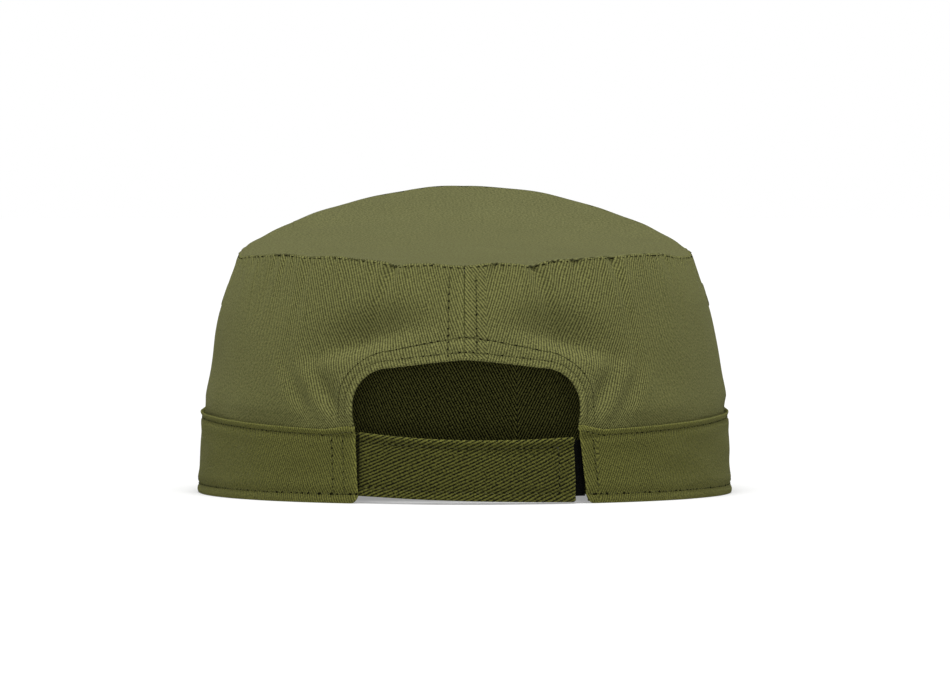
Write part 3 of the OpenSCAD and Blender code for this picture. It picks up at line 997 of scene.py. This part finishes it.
label = wall_cloth(
    "blank_care_label", 62, 76, lambda t: rim_z(t) + 9, lambda t: rim_z(t) + 27, LABEL,
    lambda t, z: sweat_relief(t, z) - 0.25 * bump(z - 14, 4), 0.8, height=18,
)
place_on(dress(label, "label"), "cap", "label", "care_label")


# --- Closure ----------------------------------------------------------------------

STRAP_T, TAPE_T = 1.0, 0.9
STRAP_MID_Z = 11
STRAP_ROOT_X, STRAP_END_X = 41.0, -34.9
TAB_ROOT_X, TAB_END_X = -43.0, 16.2
HOOK_START_X = 8.4
STRAP_LOW = (2.3, 1.1, 0.5)
STRAP_HIGH = (22.3, 20.2, 21.0)
END_DEPTH, ROOT_DEPTH = -0.2, 2.6


def through(ends, share):
    """A smooth curve through three values at the start, the middle and the end."""
    first, middle, last = ends
    start, end = first * (1 - share) * (1 - 2 * share), last * share * (2 * share - 1)
    return start + 4 * middle * share * (1 - share) + end

def strap_edges(x):
    """Heights of the strap's lower and upper edge."""
    share = np.clip((34 - x) / (34 - STRAP_END_X), 0, 1)
    return through(STRAP_LOW, share), through(STRAP_HIGH, share)


def strap_depth(x):
    """Depth of the strap's outer face, which rises over the loop tab."""
    share = np.clip((33.5 - x) / (33.5 - HOOK_START_X), 0, 1)
    return ROOT_DEPTH + (END_DEPTH - ROOT_DEPTH) * share * share * (3 - 2 * share)


def strap_surface(x, v, depth=0.0):
    """Points of the strap's outer face, at distances to the side and shares of its height."""
    x, v = together(x, v)
    low, high = strap_edges(x)
    z = low + v * (high - low)
    top_gap, bottom_gap, end_gap = high - z, z - low, x - STRAP_END_X
    place = np.stack([x, 0 * z, z], -1)
    lift = 0.35 * soft_noise(place, 17, 15) + 0.1 * soft_noise(place, 6, 16)
    for gap, row, strength in ((top_gap, 2.7, 1), (bottom_gap, 2.6, 1), (end_gap, 5.0, 0.8)):
        lift = lift - strength * (0.38 * bump(gap - row, 0.7) - 0.22 * bump(gap - 1.2, 1.0))
    lift = lift - 0.55 * bump(top_gap - 4.2, 1.6) * np.clip((6 - x) / 30, 0, 1)
    lift = lift - 1.2 * bump(x - 35.3, 0.8)
    pull = np.sin(2 * math.pi * (x + 0.6 * z) / 3.0)
    lift = lift + 0.09 * pull * (bump(top_gap - 3.4, 1.4) + bump(bottom_gap - 3.3, 1.4))
    t = angle_at(x, STRAP_MID_Z, 0)
    return wall(t, z, strap_depth(x) + depth - lift * (1 - 0.35 * np.clip(depth, 0, 1)))


def strip_cloth(name, surface, x0, x1, thickness, pitch=1.0, corner=0.9, height=20, shadow_x=999):
    """A flat strip over a surface in (x, share of height), with a rounded free end at x1.

    The cloth's colour is painted dark along shadow_x, a painted shadow where it comes out from under another
    one.
    """
    length = abs(x1 - x0)
    share_x, share_v = ticks(length, pitch) / length, ticks(height, pitch) / height
    x = x0 + share_x[:, None] * (x1 - x0) + 0 * share_v[None, :]
    v = share_v[None, :] + 0 * x
    # Rounded corners at the free end: rows shorten towards it
    to_end = (1 - share_x[:, None]) * length
    cut = (corner - np.sqrt(np.maximum(0, corner**2 - np.maximum(0, corner - to_end) ** 2))) / height
    v = cut + v * (1 - 2 * cut)
    gap = np.minimum.reduce([
        share_x[:, None] * length + 0 * v,
        to_end + 0 * v,
        share_v[None, :] * height + 0 * x,
        (1 - share_v[None, :]) * height + 0 * x,
    ])
    radius = 0.5 * thickness
    fall = roll(gap, radius) * 0.96
    outer = surface(x, v, fall).reshape(-1, 3)
    inner = surface(x, v, thickness - fall).reshape(-1, 3)
    weave = np.stack([x, v * height], -1).reshape(-1, 2)
    # Painted highlight along the edges, and a painted shadow line along shadow_x.
    painted_light_and_shade = bump(gap, 0.9) - 2.9 * bump(x - shadow_x, 0.75)
    return closed_cloth(name, outer, inner, grid_faces(*x.shape), weave, painted_light_and_shade.ravel())


strap = strip_cloth("strap_cloth", strap_surface, STRAP_ROOT_X, STRAP_END_X, STRAP_T, shadow_x=35.4)
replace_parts(dress(strap, "strap"), "closure_strap", "strap_root")

HOOK_DEPTH = STRAP_T + 0.05
LOOP_DEPTH = END_DEPTH + HOOK_DEPTH + TAPE_T + 0.3
TAB_DEPTH = LOOP_DEPTH + TAPE_T + 0.05
TAB_LOW, TAB_HIGH = 2.7, 19.5
LOOP_H = TAB_HIGH - TAB_LOW + 0.8


def tab_surface(x, v, depth=0.0):
    x, v = together(x, v)
    z = TAB_LOW + v * (TAB_HIGH - TAB_LOW)
    place = np.stack([x, 0 * z, z], -1)
    lift = 0.12 * soft_noise(place, 14, 18) * np.clip(depth, 0, 1)
    return wall(angle_at(x, STRAP_MID_Z, 0), z, TAB_DEPTH + depth - lift)


tab = strip_cloth("tab_cloth", tab_surface, TAB_ROOT_X, TAB_END_X, STRAP_T, 1.2, height=TAB_HIGH - TAB_LOW)
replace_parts(dress(tab, "strap"), "loop_tab", "tab_root")


def loop_surface(x, v, depth=0.0):
    x, v = together(x, v)
    z = TAB_LOW - 0.4 + v * LOOP_H
    return wall(angle_at(x, STRAP_MID_Z, 0), z, LOOP_DEPTH + 0.35 + depth)


def hook_surface(x, v, depth=0.0):
    x, v = together(x, v)
    low, high = strap_edges(x)
    low, high = low + 1.6, high - 1.6
    return wall(angle_at(x, STRAP_MID_Z, 0), low + v * (high - low), strap_depth(x) + HOOK_DEPTH + depth)


def sprout(name, spots, arc, radius, material, sides):
    """One small bent filament at each spot of a backing strip. spots hold (point, along, out)."""
    points, faces = [], []
    for p, a, o in spots:
        across = np.cross(a, o)
        for k, (ahead, up) in enumerate(arc):
            for i in range(sides):
                turn = 2 * math.pi * i / sides
                ring = radius * (math.cos(turn) * across + math.sin(turn) * (0.6 * o + 0.4 * a))
                points.append(p + a * ahead + o * up + ring)
        first = len(points) - len(arc) * sides
        for k in range(len(arc) - 1):
            for i in range(sides):
                b = first + k * sides
                j = (i + 1) % sides
                faces.append((b + i, b + j, b + sides + j, b + sides + i))
        faces.append(tuple(first + i for i in reversed(range(sides))))
        faces.append(tuple(len(points) - sides + i for i in range(sides)))
    piece = mesh_piece(name, np.array(points), faces)
    return dress(piece, material)


def spots_on(surface, x0, x1, pitch_x, pitch_v, height, out_sign, seed, jitter):
    rng = random.Random(seed)
    spots = []
    for i, x in enumerate(np.arange(min(x0, x1), max(x0, x1), pitch_x)):
        for v in np.arange(0.7 + (i % 2) * pitch_v / 2, height - 0.5, pitch_v):
            px, pv = x + rng.uniform(-jitter, jitter), v + rng.uniform(-jitter, jitter)
            p = surface(px, pv / height, 0.0)
            a = surface(px + 0.5, pv / height, 0.0) - p
            a = a / np.linalg.norm(a)
            o = np.cross(a, [0, 0, 1.0])
            o = o / np.linalg.norm(o)
            if o[1] * out_sign < 0:
                o = -o
            turn = rng.uniform(-1, 1) * (1.2 if jitter > 0.1 else 0.1)
            a = a * math.cos(turn) + np.array([0, 0, 1.0]) * math.sin(turn)
            spots.append((p, a, o))
    return spots


loop_tape = strip_cloth(
    "loop_tape_backing", loop_surface, TAB_ROOT_X + 4, TAB_END_X - 0.8, 0.5, 1.2, height=LOOP_H,
)
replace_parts(dress(loop_tape, "loop"), "loop_tape")
LOOP_ARC = [(-0.32, -0.05), (-0.3, 0.22), (0, 0.36), (0.3, 0.22), (0.32, -0.05)]
loop_spots = spots_on(loop_surface, TAB_ROOT_X + 5, TAB_END_X - 1.5, 0.9, 0.95, LOOP_H, 1, 21, 0.3)
loops = sprout("loop_pile", loop_spots, LOOP_ARC, 0.07, "loop", 3)

HOOK_H = 16.5
hook_tape = strip_cloth(
    "hook_tape_backing", hook_surface, HOOK_START_X, STRAP_END_X + 1, 0.5, 1.2, height=HOOK_H,
)
place_on(dress(hook_tape, "hook"), "strap", "hook_tape", "hook_tape")


def hook_back(x, v, depth=0.0):
    return hook_surface(x, v, 0.45)


HOOK_ARC = [(0, -0.05), (0, 0.25), (0.1, 0.38), (0.24, 0.36), (0.28, 0.26)]
hook_spots = spots_on(hook_back, HOOK_START_X - 1, STRAP_END_X + 2, 1.5, 1.3, HOOK_H, -1, 22, 0.04)
hooks = sprout("hook_bristles", hook_spots, HOOK_ARC, 0.09, "hook", 4)
place_on(hooks, "strap", "hook_tape")


def bends_with(piece):
    """Bakes a piece's placement into its mesh."""
    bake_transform(piece)


# --- Peak --------------------------------------------------------------------------

PEAK_ANGLE = 61
PEAK_SQUARE = 2.3
PEAK_T = 3.1
PEAK_TIP_RISE = 4
PEAK_LOW_AT = 0.75


def peak_root(u):
    t = 180 - u * PEAK_ANGLE
    p = wall(t, rim_z(t), CROWN[1] + 0.2)
    p[..., 2] = rim_z(t) - 0.15
    return p


def peak_edge(u):
    corner = peak_root(np.array(1.0))
    side = np.minimum(abs(u), 1)
    x = corner[0] * np.sign(u) * np.sin(np.radians(90 * side)) ** (2 / PEAK_SQUARE)
    y = corner[1] - (HALF_L + 62 + corner[1]) * np.cos(np.radians(90 * side)) ** (2 / PEAK_SQUARE)
    lift = np.where(
        side < PEAK_LOW_AT,
        PEAK_TIP_RISE * np.clip(1 - (side / PEAK_LOW_AT) ** 2, 0, 1) ** 2,
        (corner[2] - PEAK_T) * (np.clip(side - PEAK_LOW_AT, 0, 1) / (1 - PEAK_LOW_AT)) ** 2,
    )
    return np.stack([x, y, PEAK_T + lift], -1)


PEAK_SHARE = 0.985


def peak_surface(u, w, drop=0.0):
    """Points of the peak's upper face: u from its right corner to its left, w from the band to the edge."""
    u, w, drop = together(u, w, drop)
    a, b = peak_root(u * PEAK_SHARE), peak_edge(u * PEAK_SHARE)
    p = a + (b - a) * (w * PEAK_SHARE)[..., None]
    crown = 1.1 * np.sin(np.pi * np.clip(w, 0, 1)) * (1 - u**4)
    p[..., 2] += crown * (1 - 0.2 * drop) - drop
    return p


def peak_cloth(name, top_side, thickness=0.6):
    """One of the peak's two covers, whose outer edge turns in to meet the other."""
    to_edge = ticks(62, 1.3) / 62
    across = ticks(180, 1.4) / 180 * 2 - 1
    u, w = np.meshgrid(across, to_edge, indexing="ij")
    length = np.linalg.norm(peak_edge(u) - peak_root(u), axis=-1)
    gap = np.minimum((1 - w) * length, 0.5 * (1 - abs(u)) * 180 + 3 * (w < 0))
    ripple = 0.12 * soft_noise(peak_surface(u, w), 14, 30)
    meet = 0.5 * (PEAK_T - 0.1)
    turn = roll(gap, 2.2) / 2.2 * (meet - 0.02)
    if top_side:
        outer = peak_surface(u, w, turn - ripple)
        inner = peak_surface(u, w, np.minimum(turn + thickness, meet) - ripple)
    else:
        outer = peak_surface(u, w, PEAK_T - turn - ripple * 0.4)
        inner = peak_surface(u, w, np.maximum(PEAK_T - turn - thickness, meet + 0.05) - ripple * 0.4)
    # The weave runs on over the turned edge
    outwards = unit(peak_edge(u)[..., :2] - peak_root(u)[..., :2])
    weave = (peak_surface(u, w)[..., :2] + outwards * turn[..., None]).reshape(-1, 2)
    # Painted highlight along the turned edge.
    painted_light_and_shade = 0.6 * bump(gap, 1.2).ravel()
    return closed_cloth(name, outer.reshape(-1, 3), inner.reshape(-1, 3), grid_faces(*u.shape), weave, painted_light_and_shade)


peak_top = peak_cloth("peak_cloth_upper", True)
place_on(dress(peak_top, "peak"), "cap", "olive_twill", "peak_upper_cover")
peak_under = peak_cloth("peak_cloth_under", False)
place_on(dress(peak_under, "peak"), "cap", "olive_twill", "peak_under_cover")


def peak_core():
    """The stiff board between the covers, which stops short of the root and of their turned edge."""
    share_w, share_u = ticks(62, 2.5) / 62, ticks(180, 3) / 180 * 2 - 1
    u, w = np.meshgrid(share_u * 0.86, share_w, indexing="ij")
    length = np.linalg.norm(peak_edge(u) - peak_root(u), axis=-1)
    w = 0.06 + w * (0.94 - 3.6 / length)
    upper = peak_surface(u, w, 0.85).reshape(-1, 3)
    lower = peak_surface(u, w, PEAK_T - 0.85).reshape(-1, 3)
    return closed_cloth("peak_stiffener", upper, lower, grid_faces(*u.shape), upper[:, :2])


place_on(dress(peak_core(), "board"), "cap", "peak_board", "peak_board")


# --- Eyelets -----------------------------------------------------------------------

def crown_face(t, z):
    return wall(t, z, CROWN[0] - crown_relief(t, z))


def eyelet(t):
    """Points and faces of one ring of thread worked over the edge of a hole."""
    turns, sides = 112, 10
    around = np.radians(np.arange(turns) * 360 / turns)
    profile = np.radians(np.arange(sides) * 360 / sides)
    cord = 1 + 0.10 * np.sin(28 * around)
    centre = crown_face(np.array(float(t)), np.array(EYELET_Z))
    right = unit(crown_face(np.array(t + 0.5), np.array(EYELET_Z)) - centre)
    up = unit(crown_face(np.array(float(t)), np.array(EYELET_Z + 0.5)) - centre)
    out = np.cross(right, up)
    out = out if out[:2] @ centre[:2] > 0 else -out
    major, wide, high = 2.9, 0.95, 0.3
    ring = major + wide * np.cos(profile)[None, :] * cord[:, None]
    lift = high * np.sin(profile)[None, :] * cord[:, None]
    points = (
        centre
        + (ring * np.cos(around)[:, None])[..., None] * right
        + (ring * np.sin(around)[:, None])[..., None] * up
        + lift[..., None] * out
    ).reshape(-1, 3)
    faces = [
        (i * sides + j, (i + 1) % turns * sides + j,
         (i + 1) % turns * sides + (j + 1) % sides, i * sides + (j + 1) % sides)
        for i in range(turns)
        for j in range(sides)
    ]
    return points, faces


ring_points, ring_faces = [], []
for t in EYELETS:
    points, faces = eyelet(t)
    start = sum(len(p) for p in ring_points)
    ring_points.append(points)
    ring_faces += [tuple(start + i for i in f) for f in faces]
eyelets = mesh_piece("worked_eyelets", np.concatenate(ring_points), ring_faces)
place_on(dress(eyelets, "eyelet_thread"), "cap", "thread", "ventilation_eyelets")


# --- Stitching ---------------------------------------------------------------------

THREAD_R = 0.18
STITCH, PITCH = 1.5, 2.25


def along_line(places, walk, values):
    """Values of a line's points at places along it."""
    return np.stack([np.interp(places, walk, values[:, i]) for i in range(3)], -1)


STITCH_U = np.linspace(0, 1, 7)
THREAD_SIDES, HOLE_SIDES = 6, 8

def thread_points(centre, out, across):
    """Points of one stitch's thread, a tube that arches over the cloth."""
    turn = 2 * math.pi * np.arange(THREAD_SIDES) / THREAD_SIDES
    arch = np.sin(np.pi * STITCH_U) ** 0.6
    centre = centre + out * (THREAD_R * (1.2 * arch - 0.5))[:, None]
    girth = (THREAD_R * (0.55 + 0.45 * arch))[:, None, None]
    ring = np.cos(turn)[None, :, None] * across[:, None] + 0.85 * np.sin(turn)[None, :, None] * out[:, None]
    return (centre[:, None] + girth * ring).reshape(-1, 3)

def hole_points(middle, up, ahead, across, wide, slim):
    """Points of a needle hole, a flat lens on the cloth's face, coloured near black as painted shade."""
    turn = 2 * math.pi * np.arange(HOLE_SIDES) / HOLE_SIDES
    lens = np.cos(turn)[:, None] * ahead + slim * np.sin(turn)[:, None] * across
    middle = middle + 0.1 * up
    return np.concatenate([middle + 0.5 * wide * lens, middle + 0.06 * up, middle - 0.3 * up])

def hole_faces(first):
    faces = []
    for j in range(HOLE_SIDES):
        a, b = first + j, first + (j + 1) % HOLE_SIDES
        faces += [(a, b, first + HOLE_SIDES), (b, a, first + HOLE_SIDES + 1)]
    return faces

def stitch_mesh(name, rows, hole=1.0, slim=0.7, threads=True):
    """Threads and needle holes along rows. Each row is (points, outward normals) in millimetres.

    hole is the holes' length, which may depend on the distance from the row's nearer end, and slim
    is their width's share of it. Without threads, only the holes show, as along a seam.
    """
    rng = random.Random(name)
    points, faces, slots, count = [], [], [], 0
    for line, normals in rows:
        walk = walked(line)
        n = max(1, int(walk[-1] // PITCH))
        step = walk[-1] / n
        for k in range(n):
            places = k * step + 0.5 * (step - STITCH) + STITCH_U * STITCH
            centre, out = along_line(places, walk, line), unit(along_line(places, walk, normals))
            ahead = unit(np.gradient(centre, axis=0))
            across = np.cross(ahead, out)
            if threads:
                points.append(thread_points(centre, out, across))
                tube = closed_rings(count, len(STITCH_U), THREAD_SIDES)
                faces += tube
                slots += [0] * len(tube)
                count += len(points[-1])
            # The needle hole comes before its stitch
            middle = along_line([k * step], walk, line)
            up = unit(along_line([k * step], walk, normals))
            size = hole(min(k * step, walk[-1] - k * step)) if callable(hole) else hole
            wide = size * rng.uniform(0.55, 1.15)
            points.append(hole_points(middle, up, ahead[0], across[0], wide, slim))
            faces += hole_faces(count)
            slots += [1] * (2 * HOLE_SIDES)
            count += len(points[-1])
    piece = mesh_piece(name, np.concatenate(points), faces, face_slots=slots)
    return dress(piece, "thread", "painted_hole_shade")

def row_on(surface, a, b, outward=None):
    """A stitch row over a surface in two coordinates: its points and its normals."""
    a, b = together(a, b)
    p = surface(a, b)
    e = 0.05
    normal = unit(np.cross(surface(a + e, b) - surface(a - e, b), surface(a, b + e) - surface(a, b - e)))
    facing_out = p * [1, 1, 0] if outward is None else np.broadcast_to(outward, p.shape)
    flip = np.where((normal * facing_out).sum(-1, keepdims=True) < 0, -1, 1)
    return p, normal * flip


def band_face(t, z):
    return wall(t, z, BAND[0] - band_relief(t, z))


def sewn(name, rows, body="cap", **sizes):
    piece = stitch_mesh(name, rows, **sizes)
    if body:
        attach(piece, body)
    return piece


round_t = np.linspace(band_end(1)(1) + 0.4, band_end(-1)(1) - 0.4, 900)
sewn("stitches_band_lip", [row_on(band_face, round_t, band_top(round_t) - 1.9)], hole=0.9, slim=0.45)
round_t = np.linspace(band_end(1)(0) + 0.4, band_end(-1)(0) - 0.4, 900)
sewn(
    "stitches_band_hem", [row_on(band_face, round_t, rim_z(round_t) + 3.0)],
    hole=lambda to_end: 0.95 + 0.7 * math.exp(-((to_end / 24) ** 2)),
)
up_share = np.linspace(0.12, 0.93, 40)
ends = []
for side, inset in ((1, 4.0), (1, 7.6), (-1, 4.2)):
    t_end = np.array([band_end(side)(v) for v in up_share])
    shift = np.degrees(inset / (HALF_L - 8)) * side * 1.13
    ends.append(row_on(band_face, t_end + shift, up_share * 23.5))
sewn("stitches_band_ends", ends, hole=0.75)


def crown_outer(t, z):
    """The crown's face, with the turn towards the top seam."""
    return wall(t, z, CROWN[0] - crown_relief(t, z) + roll(seam_z(t) - z, SEAM_ROLL))


round_t = np.linspace(0, 360, 1400)
top_row = row_on(crown_outer, round_t, seam_z(round_t) - 0.7)
sewn("stitches_top_seam", [top_row], hole=1.5, slim=0.25, threads=False)
heights = np.linspace(ARCH_H + 1.2, BACK_H - 2.6, 60)
back_rows = [row_on(crown_outer, angle_along(s) + 0 * heights, heights) for s in (5.2, -4.0)]
sewn("stitches_back_seam", back_rows, hole=0.85)
front_rows = []
for middle in (FRONT_SEAM, 360 - FRONT_SEAM):
    for shift in (-2.3, 2.3):
        t = float(angle_along(along(middle) + shift))
        z = np.linspace(float(band_z(t)) + 1.0, float(seam_z(t)) - 2.6, 80)
        front_rows.append(row_on(crown_outer, t + 0 * z, z))
sewn("stitches_front_seams", front_rows)


def arch_row(near, far):
    """A stitch row round the opening, whose distance from the edge changes from its middle to its ends."""
    halves = []
    for side in (-1, 1):
        line = arch_edge(side)
        line = resample(line[line[:, 1] > 25.5], 0.8, closed=False)
        step = unit(np.gradient(line, axis=0))
        outward = np.stack([-step[:, 1], step[:, 0]], -1) * side
        share = np.linspace(0, 1, len(line))[:, None]
        line = line + outward * (near + (far - near) * np.clip(share * 1.5, 0, 1))
        halves.append(line[side * (line[:, 0] - ARCH_SHIFT) > -0.01])
    both = np.concatenate([halves[0][::-1], halves[1][1:]])
    return row_on(crown_outer, angle_at(both[:, 0], both[:, 1]), both[:, 1])


sewn("stitches_arch_edge", [arch_row(2.3, 2.2)], hole=lambda to_end: 0.4 + 0.45 * min(1, to_end / 45))
sewn(
    "stitches_arch_facing", [arch_row(7.0, 4.6)],
    hole=lambda to_end: 0.6 + 0.55 * min(1, to_end / 45), slim=0.45,
)

strap_x = np.linspace(33, STRAP_END_X + 5.0, 200)
v_step = np.linspace(0.15, 0.85, 40)
strap_rows = [
    row_on(strap_surface, strap_x, 2.7 / 19.6),
    row_on(strap_surface, STRAP_END_X + 5.0, v_step),
    row_on(strap_surface, strap_x, 1 - 2.7 / 19.6),
]
strap_thread = sewn("stitches_strap", strap_rows, body=None, hole=1.35, slim=0.45)
loop_rows = [row_on(loop_surface, np.linspace(-32, TAB_END_X - 2, 160), v) for v in (0.09, 0.91)]
loop_rows.append(row_on(loop_surface, TAB_END_X - 2, np.linspace(0.1, 0.9, 30)))
loop_thread = sewn("stitches_loop_tape", loop_rows, body=None)


def peak_underside(u, w):
    return peak_surface(u, w, PEAK_T)

# Each row's share of the way to the peak's edge, and how far it reaches to the sides
PEAK_ROWS = (
    (0.965, 0.985), (0.84, 0.95), (0.70, 0.93), (0.56, 0.91), (0.42, 0.88), (0.28, 0.84), (0.14, 0.8),
)
for word, surface, up in (("upper", peak_surface, 1), ("under", peak_underside, -1)):
    rows = []
    for w, reach in PEAK_ROWS:
        rows.append(row_on(surface, np.linspace(-reach, reach, 500), w, outward=(0, 0, up)))
    sewn(f"stitches_peak_{word}", rows)


def sweat_face(t, z):
    return wall(t, z, SWEATBAND[1] - sweat_relief(t, z))


round_t = np.linspace(ARCH_T + 2.4, 356 - ARCH_T, 900)
inward = -wall(round_t, 20, 0) * [1, 1, 0]
sewn("stitches_sweatband", [row_on(sweat_face, round_t, sweat_top(round_t) - 3.0, outward=inward)])

for piece in (strap, strap_thread):
    bends_with(piece)
for piece in (tab, loop_tape, loops, loop_thread):
    bends_with(piece)

# --- Camera, floor and light -------------------------------------------------------------

VIEW_DISTANCE = 2500
VIEW_RISE = 1.4
VIEW_CENTRE = Vector((-3.35, 0, 46))
VIEW_WIDTH = 310.5
SENSOR = 36

camera_data = bpy.data.cameras.new("camera")
camera_data.sensor_width = SENSOR
camera_data.lens = SENSOR * VIEW_DISTANCE / VIEW_WIDTH
camera_data.clip_start, camera_data.clip_end = 0.05, 50
camera = bpy.data.objects.new("camera", camera_data)
rise = math.radians(VIEW_RISE)
back = Vector((0, math.cos(rise), math.sin(rise)))
camera.location = (VIEW_CENTRE + back * VIEW_DISTANCE) * MM
camera.rotation_mode = "QUATERNION"
camera.rotation_quaternion = (-back).to_track_quat("-Z", "Y")
bpy.context.scene.collection.objects.link(camera)
bpy.context.scene.camera = camera


def sun_light(name, azimuth, elevation, strength, spread):
    """Light from a direction: azimuth 0 comes from behind the cap's closure, 90 from its left side."""
    data = bpy.data.lights.new(name, "SUN")
    data.energy = strength
    data.angle = math.radians(spread)
    lamp = bpy.data.objects.new(name, data)
    a, e = math.radians(azimuth), math.radians(elevation)
    source = Vector((math.sin(a) * math.cos(e), math.cos(a) * math.cos(e), math.sin(e)))
    lamp.rotation_mode = "QUATERNION"
    lamp.rotation_quaternion = (-source).to_track_quat("-Z", "Y")
    bpy.context.scene.collection.objects.link(lamp)


sun_light("overhead_light", 0, 78, 3.85, 40)
sun_light("fill_light", 0, 1.2, 0.55, 4)

floor_mesh = bpy.data.meshes.new("floor")
FLOOR_M = 12
corners = [(x * FLOOR_M, y * FLOOR_M, 0) for x, y in ((-1, -1), (1, -1), (1, 1), (-1, 1))]
floor_mesh.from_pydata(corners, [], [(0, 1, 2, 3)])
floor = link("floor", floor_mesh)
floor.location.z = min(0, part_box("outer_band")[0].z)
floor_paint = Nodes("floor_paint")
floor_place = floor_paint.add("ShaderNodeTexCoord").outputs["Object"]
floor_cloud = floor_paint.math("MULTIPLY_ADD", floor_paint.noise(floor_place, 3, 2), 0.02, 0.985)
floor_grey = floor_paint.scale_colour((0.53, 0.53, 0.53, 1), floor_cloud)
floor_paint.join(floor_grey, floor_paint.shader.inputs["Base Color"])
floor_paint.shader.inputs["Emission Color"].default_value = (1, 1, 1, 1)
floor_seen = floor_paint.add("ShaderNodeLightPath").outputs["Is Camera Ray"]
floor_glow = floor_paint.math("MULTIPLY_ADD", floor_seen, 0.1, 0.2)
floor_paint.join(floor_glow, floor_paint.shader.inputs["Emission Strength"])
floor_mesh.materials.append(floor_paint.finish(0.9, specular=0.0))

world = bpy.data.worlds.new("studio")
world.use_nodes = True
studio = world.node_tree
lit = studio.nodes["Background"]
lit.inputs["Strength"].default_value = 0.26
seen = studio.nodes.new("ShaderNodeBackground")
seen.inputs["Color"].default_value = (1, 1, 1, 1)
path = studio.nodes.new("ShaderNodeLightPath")
either = studio.nodes.new("ShaderNodeMixShader")
studio.links.new(path.outputs["Is Camera Ray"], either.inputs[0])
studio.links.new(lit.outputs[0], either.inputs[1])
studio.links.new(seen.outputs[0], either.inputs[2])
studio.links.new(either.outputs[0], studio.nodes["World Output"].inputs["Surface"])
lit.inputs["Color"].default_value = (1, 1, 1, 1)
bpy.context.scene.world = world
bpy.context.scene.view_settings.view_transform = "Standard"
